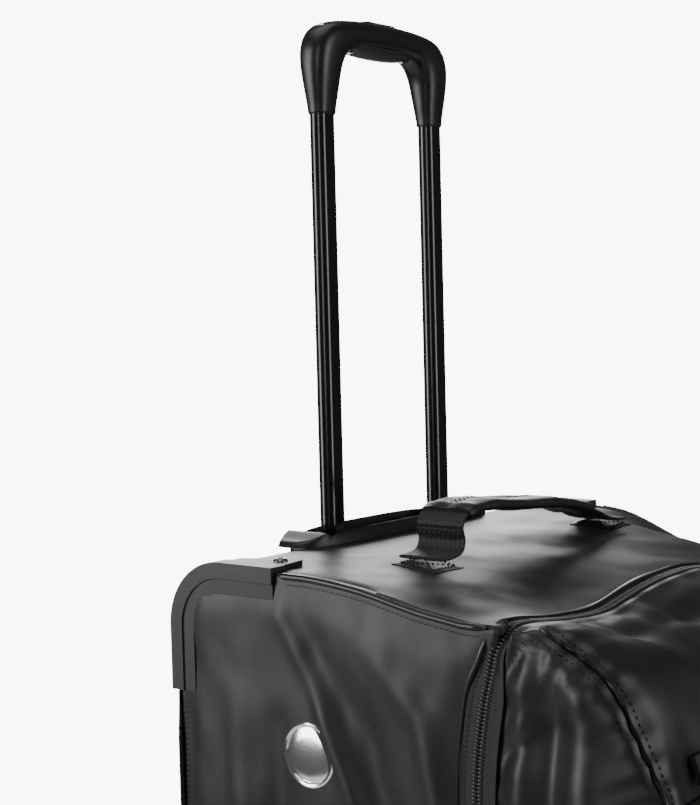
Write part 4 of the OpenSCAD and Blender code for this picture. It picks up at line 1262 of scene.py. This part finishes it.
        def push(spot: Vector, normal: Vector) -> float:
            seam = seams[0] if spot.x < 0 else seams[1]
            gap, share = seam.away(spot)
            run = share * seam.length
            wander = 1.0 + 0.5 * swell(Vector((run, spot.x, 0)), 0.03, 4.0)
            gather = 0.0012 * math.cos(run * math.tau / 0.017 + 2.6 * swell(Vector((run, 0, 0)), 0.04, 9.0))
            pucker = gather * wander * gap / 0.008 * math.exp(1 - gap / 0.008) * 0.55
            rope = -0.0022 * math.exp(-((gap / 0.004) ** 2))
            side = zips[0] if spot.x < 0 else zips[1]
            zgap, zshare = side.away(spot)
            if spot.z > 0.74 and top.away(spot)[0] < zgap:
                zgap, zshare = top.away(spot)[0], 4.0 * top.away(spot)[1]
            zpucker = 0.0010 * math.cos(zshare * side.length * math.tau / 0.021
                                        + 2.2 * swell(spot, 0.05, 6.0)) * math.exp(-zgap / 0.018)
            edge = ease(0.0062, 0.012, zgap) * ease(0.064, 0.085, spot.z)
            soft = 0.0026 * swell(spot, 0.08, 11.0) + 0.0003 * swell(spot, 0.03, 12.0)
            dip = 0.0060 * bump(0.694, 0.026, spot.z) * ease(0.18, 0.165, abs(spot.x)) * ease(-0.15, -0.17, spot.y)
            return edge * (pucker + rope + zpucker + folds_push(folds, spot) + soft) - dip

        displaced(bm, push)
        face_towards(bm, lambda c: Vector((c.x * 3, -1, 0.5)))
        tree = BVHTree.FromBMesh(bm)
        obj = piece("lid_fabric", bm, Finishes.fabric, "lid",
                    ["lid_panel", "lid_gusset_left", "lid_gusset_right"], angle=75)
        thick = obj.modifiers.new("wall", "SOLIDIFY")
        thick.thickness, thick.offset = 0.0035, -1.0
        self.build_seams(tree)
        self.build_pocket(tree)

    def on_lid(self, tree: BVHTree, spot: Vector, lift: float) -> tuple[Vector, Vector]:
        """Returns the place on the lid nearest to a spot, lifted off it, and the normal there."""
        at, normal, _, _ = tree.find_nearest(spot)
        return at + normal * lift, normal

    def row_on_lid(self, tree: BVHTree, path: Path, count: int, lift: float) -> tuple[Path, list[Vector]]:
        """Returns a path laid on the lid, and its normals."""
        rows = [self.on_lid(tree, p, lift) for p in path.even(count)]
        return Path([r[0] for r in rows]), [r[1] for r in rows]

    def stitch_row(self, bm: BMesh, path: Path, normals: list[Vector], pitch: float, size: Spot) -> None:
        """Adds a row of stitches along a path on the lid."""
        count = max(2, int(path.length / pitch))
        spots = []
        for i in range(count):
            share = (i + 0.5) / count
            spots.append((path.at(share), path.tangent(share), normals[round(share * (len(normals) - 1))]))
        add_beads(bm, spots, size)

    def build_seams(self, tree: BVHTree) -> None:
        """Builds the piped seams beside the front and the stitched cross seam."""
        line = SHAPE.lid_line()
        for side, name in ((-1, "left"), (1, "right")):
            seam = Path([(side * self.seam_x, p.y, p.z) for p in line.even(120)[3:-2]])
            path, normals = self.row_on_lid(tree, seam, 300, 0.0008)
            bm = bmesh.new()
            add_tube(bm, path, 300, lambda s: 0.0011 + 0.0002 * math.sin(s * 310.0), 8,
                     up=lambda s: pick(normals, s))
            piece(f"lid_piping_{name}", bm, Finishes.gloss, "lid")
            bm = bmesh.new()
            for off in (-0.006, 0.007):
                beside = Path([p + Vector((-side * abs(off), 0, 0)) if off < 0 else
                               p + Vector((side * 0.007, 0.004, 0)) for p in seam.points])
                row, up = self.row_on_lid(tree, beside, 260, 0.0003)
                self.stitch_row(bm, row, up, 0.0042, SEAM_STITCH)
            piece(f"lid_stitching_{name}", bm, Finishes.webbing, "lid")
        bm = bmesh.new()
        for share in (0.228, 0.241):
            at = line.at(share)
            cross = Path([(-self.seam_x + 0.004, at.y, at.z), (self.seam_x - 0.004, at.y, at.z)])
            row, up = self.row_on_lid(tree, cross, 140, 0.0004)
            self.stitch_row(bm, row, up, 0.0042, CROSS_STITCH)
        piece("lid_cross_stitching", bm, Finishes.webbing, "lid")
        bm = bmesh.new()
        at = line.at(0.2345)
        cross = Path([(-self.seam_x + 0.002, at.y, at.z), (self.seam_x - 0.002, at.y, at.z)])
        row, up = self.row_on_lid(tree, cross, 140, 0.0002)
        add_tube(bm, row, 140, 0.0036, 8, up=lambda s: pick(up, s), flat=0.35)
        piece("lid_cross_seam", bm, Finishes.fabric, "lid")

    def build_pocket(self, tree: BVHTree) -> None:
        """Builds the flat front pocket with its zip, laid on the puffed lid."""
        line = SHAPE.lid_line()
        half = 0.166
        first, last = 0.190, 0.925
        across, along = 56, 74

        def place(u: float, v: float) -> Vector:
            at = line.at(first + (last - first) * v)
            x = (2 * u - 1) * half
            rim = min(u, 1 - u) * 2 * half
            end = min(v, 1 - v) * (last - first) * line.length
            lift = 0.0010 + 0.0022 * ease(0.0, 0.012, min(rim, end)) + 0.0016 * ease(0.01, 0.07, min(rim, end))
            spot, _ = self.on_lid(tree, Vector((x, at.y, at.z)), lift)
            spot.y += 0.0015 * swell(spot, 0.05, 21.0) * ease(0.0, 0.03, min(rim, end))
            return spot

        bm = bmesh.new()
        mapped_grid(bm, across, along, place)
        bmesh.ops.smooth_vert(bm, verts=bm.verts[:], factor=0.5, use_axis_x=True, use_axis_y=True,
                              use_axis_z=True)
        face_towards(bm, lambda c: Vector((0, -1, 0)))
        obj = piece("pocket_fabric", bm, Finishes.fabric, "lid", ["pocket_panel"], angle=70)
        thick = obj.modifiers.new("wall", "SOLIDIFY")
        thick.thickness, thick.offset = 0.0016, -1.0
        bm = bmesh.new()
        rim = [(-half, first), (half, first), (half, last), (-half, last), (-half, first)]
        for (x0, s0), (x1, s1) in zip(rim, rim[1:]):
            steps = 60
            side = []
            for i in range(steps + 1):
                t = i / steps
                at = line.at(s0 + (s1 - s0) * t)
                side.append((x0 + (x1 - x0) * t, at.y, at.z))
            row, up = self.row_on_lid(tree, Path(side), 120, 0.0016)
            add_tube(bm, row, 120, 0.0019, 8, up=lambda s, n=up: pick(n, s), flat=0.8)
        piece("pocket_binding", bm, Finishes.gloss, "lid")
        self.build_pocket_zip()

    def build_pocket_zip(self) -> None:
        """Builds the pocket zip's tape and teeth, in the place that the pocket's slider runs along."""
        lo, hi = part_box("pocket_zip")
        slope = (hi - lo)
        middle = (hi + lo) / 2
        out = Vector((0, -math.sin(1.2305), math.cos(1.2305))).normalized()
        down = Vector((0, -out.z, out.y)).normalized()
        half = slope.x / 2
        base = middle - out * 0.0004

        def place(u: float, v: float) -> Vector:
            return base + Vector(((2 * v - 1) * half, 0, 0)) + down * ((2 * u - 1) * 0.0085) \
                + out * 0.00025 * math.sin(u * 30.0)

        bm = bmesh.new()
        mapped_grid(bm, 10, 80, place)
        face_towards(bm, lambda c: out)
        bmesh.ops.solidify(bm, geom=bm.faces[:], thickness=0.0032)
        bmesh.ops.recalc_face_normals(bm, faces=bm.faces)
        piece("pocket_zip_tape", bm, Finishes.tape, "lid", ["pocket_zip"])
        bm = bmesh.new()
        count = int(2 * half / 0.0024)
        for sign in (-1, 1):
            spots = []
            for i in range(2, count - 1):
                x = -half + 2 * half * i / count
                spots.append((base + Vector((x, 0, 0)) + down * (0.0016 * sign) + out * 0.0010,
                              down + Vector((0.2 * sign, 0, 0)), out))
            add_beads(bm, spots, POCKET_TOOTH)
        piece("pocket_zip_coil", bm, Finishes.coil, "lid", angle=80)


@dataclass
class Trolley:
    """The telescopic handle: tubes, moulded grip, cover and push button."""

    tube_y: float = 0.156
    grip_low: float = 1.1036
    press: float = 0.0042

    def sections(self) -> list[tuple[float, float, float, float, float]]:
        """Returns the grip's stations: outer x and z, inner x and z, and half depth."""
        low = self.grip_low
        return [
            (0.0752, low, 0.0548, low, 0.0070),
            (0.0758, low + 0.0012, 0.0542, low + 0.0012, 0.0076),
            (0.0762, low + 0.006, 0.0536, low + 0.006, 0.0082),
            (0.0778, low + 0.016, 0.0518, low + 0.016, 0.0096),
            (0.0792, low + 0.026, 0.0503, low + 0.025, 0.0110),
            (0.0800, low + 0.036, 0.0487, low + 0.033, 0.0122),
            (0.0790, low + 0.0465, 0.0460, low + 0.0395, 0.0131),
            (0.0748, low + 0.0560, 0.0415, low + 0.0445, 0.0136),
            (0.0672, low + 0.0628, 0.0352, low + 0.0476, 0.0138),
            (0.0555, low + 0.0668, 0.0280, low + 0.0490, 0.0138),
            (0.0380, low + 0.0690, 0.0190, low + 0.0496, 0.0138),
            (0.0190, low + 0.0700, 0.0095, low + 0.0498, 0.0138),
            (0.0, low + 0.0704, 0.0, low + 0.0498, 0.0138),
        ]

    def build_grip(self) -> None:
        """Builds the smooth moulded grip as one lofted form."""
        rows = self.sections()
        full = [(-a, b, -c, d, e) for a, b, c, d, e in rows] + [r for r in reversed(rows[:-1])]
        outer = curve_through([(r[0], r[1], r[4]) for r in full], 6)
        inner = curve_through([(r[2], r[3], r[4]) for r in full], 6)
        stations = list(zip(outer.points, inner.points))
        count, power = len(stations) - 1, 2 / 2.7

        def place(u: float, v: float) -> Vector:
            o, i = stations[round(v * count)]
            a = u * math.tau
            c, s = math.cos(a), math.sin(a)
            across = keep_sign(c, power)
            deep = keep_sign(s, power)
            mid = (o + i) / 2
            reach = (o - i) / 2
            return Vector((mid.x + reach.x * across, self.tube_y + o.z * deep, mid.y + reach.y * across))

        bm = bmesh.new()
        mapped_grid(bm, 36, count, place)
        close_up(bm)
        grip = piece("grip_moulding", bm, Finishes.grip, "trolley", ["grip"], angle=50)
        self.cut_button_slot(grip)

    def cut_button_slot(self, grip: Object) -> None:
        """Cuts the oval slot that the push button moves in."""
        bm = bmesh.new()
        lo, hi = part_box("push_button")
        half, r = (hi.x - lo.x) / 2 + 0.0004, (hi.y - lo.y) / 2 + 0.0004

        def place(u: float, v: float) -> Vector:
            a = u * math.tau
            x = (half - r) * (1 if math.cos(a) > 0 else -1) + r * math.cos(a)
            return Vector((x, self.tube_y + r * math.sin(a), hi.z - 0.0095 + 0.02 * v))

        mapped_grid(bm, 32, 1, place)
        close_up(bm)
        cut_away(grip, bm)

    def build_spring(self) -> None:
        """Builds the button's coil spring as one fixed shape on the trolley."""
        bm = bmesh.new()
        bm.from_mesh(frame["nodes"]["button_spring"].data)
        bmesh.ops.remove_doubles(bm, verts=bm.verts, dist=1e-6)
        bmesh.ops.recalc_face_normals(bm, faces=bm.faces)
        spring = piece("button_spring_coil", bm, Finishes.steel, "trolley", ["button_spring"])
        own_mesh(spring)

    def build_button(self) -> None:
        """Builds the oval push button with its domed top."""
        lo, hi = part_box("push_button")
        half, r = (hi.x - lo.x) / 2 - 0.0002, (hi.y - lo.y) / 2 - 0.0002
        rings = ((0.0, 0.0), (0.35, 0.0), (0.75, 0.0002), (0.92, 0.0006), (1.0, 0.0016), (1.0, 0.008),
                 (0.0, 0.008))

        def place(u: float, v: float) -> Vector:
            share, drop = rings[round(v * (len(rings) - 1))]
            a = u * math.tau
            x = ((half - r) * (1 if math.cos(a) > 0 else -1) + r * math.cos(a)) * share
            crown = 0.0009 * (x / half) ** 2
            return Vector((x, self.tube_y + r * math.sin(a) * share, hi.z - 0.0010 - crown - drop))

        bm = bmesh.new()
        mapped_grid(bm, 40, len(rings) - 1, place)
        close_up(bm)
        piece("push_button_dome", bm, Finishes.button, "button", ["push_button"])

    def build_housing(self) -> None:
        """Builds the handle housing: the CAD well under a smooth rounded lip."""
        bm = bmesh.new()
        bm.from_mesh(frame["nodes"]["handle_housing"].data)
        bmesh.ops.remove_doubles(bm, verts=bm.verts, dist=1e-5)
        bmesh.ops.bisect_plane(bm, geom=bm.verts[:] + bm.edges[:] + bm.faces[:], dist=1e-6,
                               plane_co=(0, 0, 0.7996), plane_no=(0, 0, 1), clear_outer=True)
        rim = [e for e in bm.edges if e.is_boundary]
        bmesh.ops.triangle_fill(bm, edges=rim, use_beauty=True, use_dissolve=False)
        bmesh.ops.recalc_face_normals(bm, faces=bm.faces)
        piece("housing_well", bm, Finishes.moulded, "bag", ["handle_housing"])
        half_x, front, rear, well_x, well_y = 0.1165, 0.0258, 0.0222, 0.0910, 0.0190
        low, tall, bend = 0.7984, 0.0100, 0.0066

        def place(u: float, v: float) -> Vector:
            a = u * math.tau
            c, sn = math.cos(a), math.sin(a)
            reach = rear if sn > 0 else front
            outer = Vector((half_x * keep_sign(c, 0.62), reach * keep_sign(sn, 0.62), 0))
            inner = Vector((min(well_x, max(-well_x, outer.x)), min(well_y, max(-well_y, outer.y)), 0))
            spot = outer.lerp(inner, v)
            near = min(v * 1.25, (1 - v) * 1.6) * (inner - outer).length
            rise = tall * math.sqrt(max(0.0, 1 - (1 - min(1.0, near / bend)) ** 2))
            rise *= 1 - 0.62 * ease(well_x - 0.004, half_x, abs(spot.x))
            return spot + Vector((0, self.tube_y, low + rise))

        bm = bmesh.new()
        mapped_grid(bm, 160, 20, place)
        bmesh.ops.remove_doubles(bm, verts=bm.verts, dist=1e-6)
        face_towards(bm, lambda c: Vector((0, 0, 1)))
        piece("housing_lip", bm, Finishes.moulded, "bag", angle=70)

    def build_cover(self) -> None:
        """Builds the bulged cover under the bar, with a screw head at each end."""
        lo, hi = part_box("grip_cover")
        half = (hi.x - lo.x) / 2

        def place(u: float, v: float) -> Vector:
            x = (2 * v - 1) * half
            a = math.pi * u
            end = 1 - abs(2 * v - 1) ** 6
            return Vector((x, self.tube_y + 0.0112 * math.cos(a) * (0.7 + 0.3 * end),
                           lo.z + 0.0022
                           - (0.0014 + 0.0060 * end * (1 - 0.4 * abs(2 * v - 1) ** 2)) * math.sin(a)))

        bm = bmesh.new()
        mapped_grid(bm, 16, 48, place)
        bmesh.ops.remove_doubles(bm, verts=bm.verts, dist=1e-6)
        bmesh.ops.holes_fill(bm, edges=bm.edges, sides=0)
        bmesh.ops.recalc_face_normals(bm, faces=bm.faces)
        piece("grip_underside", bm, Finishes.guard, "trolley", ["grip_cover"])
        bm = bmesh.new()
        for sign in (-1, 1):
            at = Vector((sign * (half - 0.006), self.tube_y, lo.z - 0.0020))
            bmesh.ops.create_cone(bm, cap_ends=True, segments=24, radius1=0.0036, radius2=0.0030, depth=0.002,
                                  matrix=Matrix.Translation(at))
        piece("grip_underside_screws", bm, Finishes.screw, "trolley", ["grip_screws"])

    def build(self) -> None:
        """Builds the trolley handle."""
        self.build_grip()
        self.build_cover()
        self.build_button()
        self.build_spring()
        for side in ("left", "right"):
            softened(f"inner_tube_{side}", Finishes.tube, 0.0003)
            softened(f"outer_tube_{side}", Finishes.tube_raw, 0.0003)
        self.build_housing()
        softened("tube_bracket", Finishes.moulded, 0.0008)
        for node, finish in (("guide_collars", Finishes.bearing), ("tube_bushes", Finishes.bearing),
                             ("release_rods", Finishes.steel),
                             ("lock_pin_left", Finishes.steel), ("lock_pin_right", Finishes.steel)):
            dress_node(node, finish)


@dataclass
class CarryHandle:
    """The carry handle: webbing, wrapped hand grip and stitched anchor patches."""

    y: float = 0.037
    width: float = 0.038
    patch: float = 0.034
    patch_x: float = 0.112

    def line(self) -> Path:
        """Returns the webbing's middle line from the left patch to the right one."""
        base = 0.7995
        spots = ((-0.118, 0.0010), (-0.108, 0.0014), (-0.0985, 0.0040), (-0.0955, 0.0110), (-0.0975, 0.0190),
                 (-0.0935, 0.0262), (-0.080, 0.0300), (-0.060, 0.0306), (-0.027, 0.0272), (0.020, 0.0232),
                 (0.052, 0.0180), (0.078, 0.0105), (0.094, 0.0044), (0.108, 0.0014), (0.118, 0.0010))
        return curve_through([(x, self.y, base + z) for x, z in spots], 8)

    def strip(self, path: Path, start: float, stop: float, width: float, thick: Callable[[float], float],
              across: int, along: int) -> BMesh:
        """Makes a closed strip along part of a path.

        Args:
            path: Middle line of the strip.
            start: Share of length where the strip starts.
            stop: Share of length where it ends.
            width: Width of the strip.
            thick: Half thickness at a share across the strip.
            across: Faces around the strip.
            along: Faces along the strip.

        Returns:
            The strip's mesh.
        """

        def place(u: float, v: float) -> Vector:
            share = start + (stop - start) * v
            t = path.tangent(share)
            up = Vector((0, 1, 0)).cross(t).normalized()
            if up.z < 0:
                up = -up
            a = u * math.tau
            c, s = math.cos(a), math.sin(a)
            wide = keep_sign(c, 0.35)
            return path.at(share) + Vector((0, wide * width / 2, 0)) + up * (
                keep_sign(s, 0.6) * thick(wide * 0.5 + 0.5))

        bm = bmesh.new()
        mapped_grid(bm, across, along, place)
        close_up(bm)
        return bm

    def build(self) -> None:
        """Builds the carry handle."""
        path = self.line()
        for side, name in ((-1, "left"), (1, "right")):
            start, stop = (0.0, 0.5) if side < 0 else (0.5, 1.0)
            bm = self.strip(path, start, stop, self.width, lambda w: 0.0013 + 0.00015 * math.sin(w * 60.0), 40, 70)
            web = piece(f"carry_webbing_{name}", bm, Finishes.webbing, None,
                        ["carry_webbing"] if side < 0 else ())
            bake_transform(web)
        wrap = self.strip(path, 0.185, 0.80, self.width + 0.003,
                          lambda w: 0.0034 + 0.0012 * math.sin(math.pi * w) ** 0.5
                          - 0.0011 * bump(0.5, 0.03, w), 48, 90)
        bmesh.ops.subdivide_edges(wrap, edges=[e for e in wrap.edges if e.calc_length() > 0.01], cuts=1)
        displaced(wrap, lambda spot, n: 0.0007 * swell(spot, 0.014, 31.0)
                  + 0.0009 * bump(-0.085, 0.004, spot.x) + 0.0009 * bump(0.071, 0.004, spot.x))
        piece("carry_wrap", wrap, Finishes.fabric, "carry_handle", ["carry_grip"], angle=60)
        bm = bmesh.new()
        spots = []
        count = 34
        for offset in (-0.0022, 0.0022):
            for i in range(count):
                share = 0.20 + 0.585 * (i + 0.5) / count
                t = path.tangent(share)
                up = Vector((0, 1, 0)).cross(t).normalized()
                up = -up if up.z < 0 else up
                spots.append((path.at(share) + Vector((0, offset, 0)) + up * 0.0042, t, up))
        add_beads(bm, spots, WRAP_STITCH)
        piece("carry_wrap_stitching", bm, Finishes.webbing, "carry_handle")
        self.build_patches()

    def build_patches(self) -> None:
        """Builds the two anchor patches and their boxed cross stitching."""
        bm, thread = bmesh.new(), bmesh.new()
        for side in (-1, 1):
            cx = side * self.patch_x

            def place(u: float, v: float) -> Vector:
                x, y = cx + (u - 0.5) * self.patch, self.y + (v - 0.5) * self.patch
                rim = min(u, 1 - u, v, 1 - v)
                return Vector((x, y, SHAPE.panel_z(x, y) + 0.0006 + 0.0008 * ease(0.0, 0.12, rim)))

            part = bmesh.new()
            mapped_grid(part, 18, 18, place)
            face_towards(part, lambda c: Vector((0, 0, 1)))
            bmesh.ops.solidify(part, geom=part.faces[:], thickness=0.0024)
            bmesh.ops.recalc_face_normals(part, faces=part.faces)
            merge_into(bm, part)
            inset = self.patch / 2 - 0.004
            corners = [Vector((cx + a * inset, self.y + b * inset, 0)) for a, b in
                       ((-1, -1), (1, -1), (1, 1), (-1, 1))]
            runs = [(corners[i], corners[(i + 1) % 4]) for i in range(4)]
            runs += [(corners[0], corners[2]), (corners[1], corners[3])]
            spots = []
            for a, b in runs:
                count = int((b - a).length / 0.0031)
                for i in range(count):
                    p = a.lerp(b, (i + 0.5) / count)
                    p.z = SHAPE.panel_z(p.x, p.y) + 0.0016
                    spots.append((p, b - a, Vector((0, 0, 1))))
            add_beads(thread, spots, PATCH_STITCH)
        piece("anchor_patch_pair", bm, Finishes.fabric, "bag", ["anchor_patches"])
        piece("anchor_patch_stitching", thread, Finishes.webbing, "bag")


@dataclass
class Hardware:
    """Corner guards, wheels, base, runners, badge and zip sliders."""

    wheel_y: float = 0.150
    wheel_r: float = 0.046
    wheel_x0: float = 0.170
    wheel_w: float = 0.028

    def build_guards(self) -> None:
        """Builds the corner guards and their screws."""
        for side in ("left", "right"):
            softened(f"corner_guard_{side}", Finishes.guard, 0.0009, segments=3)
        lo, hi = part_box("guard_screws")
        bm = bmesh.new()
        for sign in (-1, 1):
            at = Vector((sign * (hi.x - 0.005), (lo.y + hi.y) / 2, hi.z))
            profile = [(0.0, 0.0), (0.0022, -0.0001), (0.0038, -0.0005), (0.0048, -0.0014), (0.005, -0.0024),
                       (0.005, -0.0028)]
            line = [bm.verts.new(at + Vector((r, 0, z))) for r, z in profile]
            edges = [bm.edges.new(pair) for pair in zip(line, line[1:])]
            bmesh.ops.spin(bm, geom=line + edges, cent=at, axis=(0, 0, 1), angle=math.tau, steps=28,
                           use_merge=True)
            for turn in (0.35, 0.35 + math.pi / 2):
                blade = Vector((math.cos(turn), math.sin(turn), 0))
                add_beads(bm, [(at + Vector((0, 0, -0.0001)), blade, Vector((0, 0, 1)))], (0.0026, 0.0005, 0.0006))
        bmesh.ops.remove_doubles(bm, verts=bm.verts, dist=1e-6)
        bmesh.ops.recalc_face_normals(bm, faces=bm.faces)
        piece("guard_screw_heads", bm, Finishes.screw, "bag", ["guard_screws"])

    def build_wheels(self) -> None:
        """Builds the tyres by turning a profile, and rounds the hubs and housings."""
        for sign, side in ((-1, "left"), (1, "right")):
            middle = Vector((sign * (self.wheel_x0 + self.wheel_w / 2), self.wheel_y, self.wheel_r))
            h = self.wheel_w / 2
            profile = [(-h, 0.0362), (-h, 0.0415), (-h + 0.0015, 0.0438), (-h + 0.005, 0.0455),
                       (-h + 0.0092, 0.0460), (-0.0032, 0.0460), (-0.0024, 0.0447), (0.0024, 0.0447),
                       (0.0032, 0.0460), (h - 0.0092, 0.0460), (h - 0.005, 0.0455), (h - 0.0015, 0.0438),
                       (h, 0.0415), (h, 0.0362)]
            bm = bmesh.new()
            line = [bm.verts.new(middle + Vector((a, 0, r))) for a, r in profile]
            edges = [bm.edges.new((line[i], line[(i + 1) % len(line)])) for i in range(len(line))]
            bmesh.ops.spin(bm, geom=line + edges, cent=middle, axis=(1, 0, 0), angle=math.tau, steps=72,
                           use_merge=True)
            bmesh.ops.remove_doubles(bm, verts=bm.verts, dist=1e-6)
            bmesh.ops.recalc_face_normals(bm, faces=bm.faces)
            piece(f"tyre_tread_{side}", bm, Finishes.rubber, f"wheel_{side}", [f"tyre_{side}"])
            softened(f"wheel_hub_{side}", Finishes.hub, 0.0007)
            softened(f"wheel_housing_{side}", Finishes.moulded, 0.0010)
            dress_node(f"wheel_bush_{side}", Finishes.bearing)
        softened("wheel_axles", Finishes.steel, 0.0004)

    def build_badge(self) -> None:
        """Builds the plain round badge: a blank domed disc in a raised rim."""
        lo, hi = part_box("side_badge")
        at = Vector((hi.x, (lo.y + hi.y) / 2, (lo.z + hi.z) / 2))
        r = (hi.y - lo.y) / 2
        profile = [(0.0, 0.0030), (0.5 * r, 0.0028), (0.78 * r, 0.0021), (0.84 * r, 0.0018), (0.87 * r, 0.0030),
                   (0.93 * r, 0.0034), (0.98 * r, 0.0028), (r, 0.0016), (r, -0.001)]
        bm = bmesh.new()
        line = [bm.verts.new(at + Vector((-h - 0.003, d, 0))) for d, h in profile]
        edges = [bm.edges.new(pair) for pair in zip(line, line[1:])]
        bmesh.ops.spin(bm, geom=line + edges, cent=at, axis=(1, 0, 0), angle=math.tau, steps=64, use_merge=True)
        close_up(bm)
        piece("badge_disc", bm, Finishes.badge, "bag", ["side_badge"])

    def build(self) -> None:
        """Builds all the hardware."""
        self.build_guards()
        self.build_wheels()
        self.build_badge()
        for finish, rounding, nodes in (
                (Finishes.moulded, 0.0016, ("base_tray",)),
                (Finishes.rubber, 0.0020, ("front_feet",)),
                (Finishes.moulded, 0.0018, ("back_runners",)),
                (Finishes.board, 0.0006, ("back_board", "base_board")),
                (Finishes.zip_metal, 0.0007, ("slider_upper", "slider_lower")),
                (Finishes.zip_metal, 0.0004, ("pull_upper", "pull_lower")),
                (Finishes.zip_metal, 0.0007, ("pocket_slider",)),
                (Finishes.zip_metal, 0.0004, ("pocket_pull",))):
            for node in nodes:
                softened(node, finish, rounding)


# ---------------------------------------------------------------- studio


@dataclass
class Studio:
    """Pale floor, soft lights and the camera."""

    camera_at: Spot = (-0.96031, -0.58552, 0.96298)
    azimuth: float = -51.095
    pitch: float = 3.2513
    roll: float = -1.4814
    lens: float = 72.144

    def build_floor(self) -> None:
        """Builds the plain pale floor."""
        bm = bmesh.new()
        bmesh.ops.create_circle(bm, cap_ends=True, segments=96, radius=1.5)
        mesh = bpy.data.meshes.new("floor")
        bm.to_mesh(mesh)
        bm.free()
        floor = bpy.data.objects.new("floor", mesh)
        bpy.context.scene.collection.objects.link(floor)
        made = bpy.data.materials.new("floor_pale")
        made.use_nodes = True
        kit = Nodes(made.node_tree)
        shader = made.node_tree.nodes["Principled BSDF"]
        spot = kit.add("ShaderNodeTexCoord").outputs["Object"]
        cloud = kit.add("ShaderNodeTexNoise", Vector=spot, Scale=2.0, Detail=3.0)
        kit.feed(shader.inputs["Base Color"], kit.blend(cloud.outputs["Fac"], (0.86, 0.86, 0.86, 1),
                                                        (0.90, 0.90, 0.90, 1)))
        shader.inputs["Roughness"].default_value = 0.8
        mesh.materials.append(made)

    def add_light(self, name: str, at: Spot, size: tuple[float, float], power: float) -> None:
        """Adds a soft rectangular light that faces the bag.

        Args:
            name: Name of the light.
            at: Its place.
            size: Its width and height.
            power: Its power in watts.
        """
        data = bpy.data.lights.new(name, "AREA")
        data.shape, data.size, data.size_y, data.energy = "RECTANGLE", size[0], size[1], power
        obj = bpy.data.objects.new(name, data)
        obj.location = at
        obj.rotation_euler = (Vector((0, 0, 0.6)) - Vector(at)).to_track_quat("-Z", "Y").to_euler()
        bpy.context.scene.collection.objects.link(obj)

    def build_lights(self) -> None:
        """Builds the soft side lights, the top light and the pale surroundings."""
        self.add_light("light_left", (-2.5, 1.9, 1.3), (1.1, 2.2), 62)
        self.add_light("light_front", (0.9, -2.9, 1.3), (1.0, 2.0), 34)
        self.add_light("light_near", (-2.6, -1.5, 1.6), (0.7, 1.8), 16)
        self.add_light("light_back", (2.1, 2.0, 1.4), (1.5, 1.4), 48)
        self.add_light("light_top", (-0.2, 0.2, 3.0), (2.0, 2.0), 20)
        world = bpy.context.scene.world or bpy.data.worlds.new("studio")
        bpy.context.scene.world = world
        world.use_nodes = True
        kit = Nodes(world.node_tree)
        back = world.node_tree.nodes["Background"]
        back.inputs["Color"].default_value = (1.0, 1.0, 1.0, 1.0)
        seen = kit.add("ShaderNodeLightPath").outputs["Is Camera Ray"]
        kit.feed(back.inputs["Strength"], kit.maths("MULTIPLY_ADD", seen, 9.0, 0.09))

    def build_camera(self) -> None:
        """Builds the camera and makes it the scene's own."""
        a, e, r = (math.radians(v) for v in (self.azimuth, self.pitch, self.roll))
        back = Vector((math.sin(a) * math.cos(e), -math.cos(a) * math.cos(e), math.sin(e)))
        right = (-back).cross(Vector((0, 0, 1))).normalized()
        up = right.cross(-back)
        right2 = math.cos(r) * right + math.sin(r) * up
        up2 = -math.sin(r) * right + math.cos(r) * up
        data = bpy.data.cameras.new("camera")
        data.lens, data.sensor_width = self.lens, 36.0
        data.clip_start, data.clip_end = 0.02, 60.0
        camera = bpy.data.objects.new("camera", data)
        turn = Matrix((right2, up2, back)).transposed().to_4x4()
        camera.matrix_world = Matrix.Translation(Vector(self.camera_at)) @ turn
        bpy.context.scene.collection.objects.link(camera)
        bpy.context.scene.camera = camera

    def build(self) -> None:
        """Builds the studio."""
        self.build_floor()
        self.build_lights()
        self.build_camera()


def write_sizes() -> None:
    bpy.context.view_layer.update()


def main() -> None:
    """Builds the studio and every sub-assembly of the bag in order."""
    logging.basicConfig(level=logging.INFO, format="%(message)s")
    for part in (Studio(), RearShell(), MainZip(), PuffedLid(), Trolley(), CarryHandle(), Hardware()):
        log.info("building %s", type(part).__name__)
        part.build()
    write_sizes()


if __name__ == "__main__":
    main()
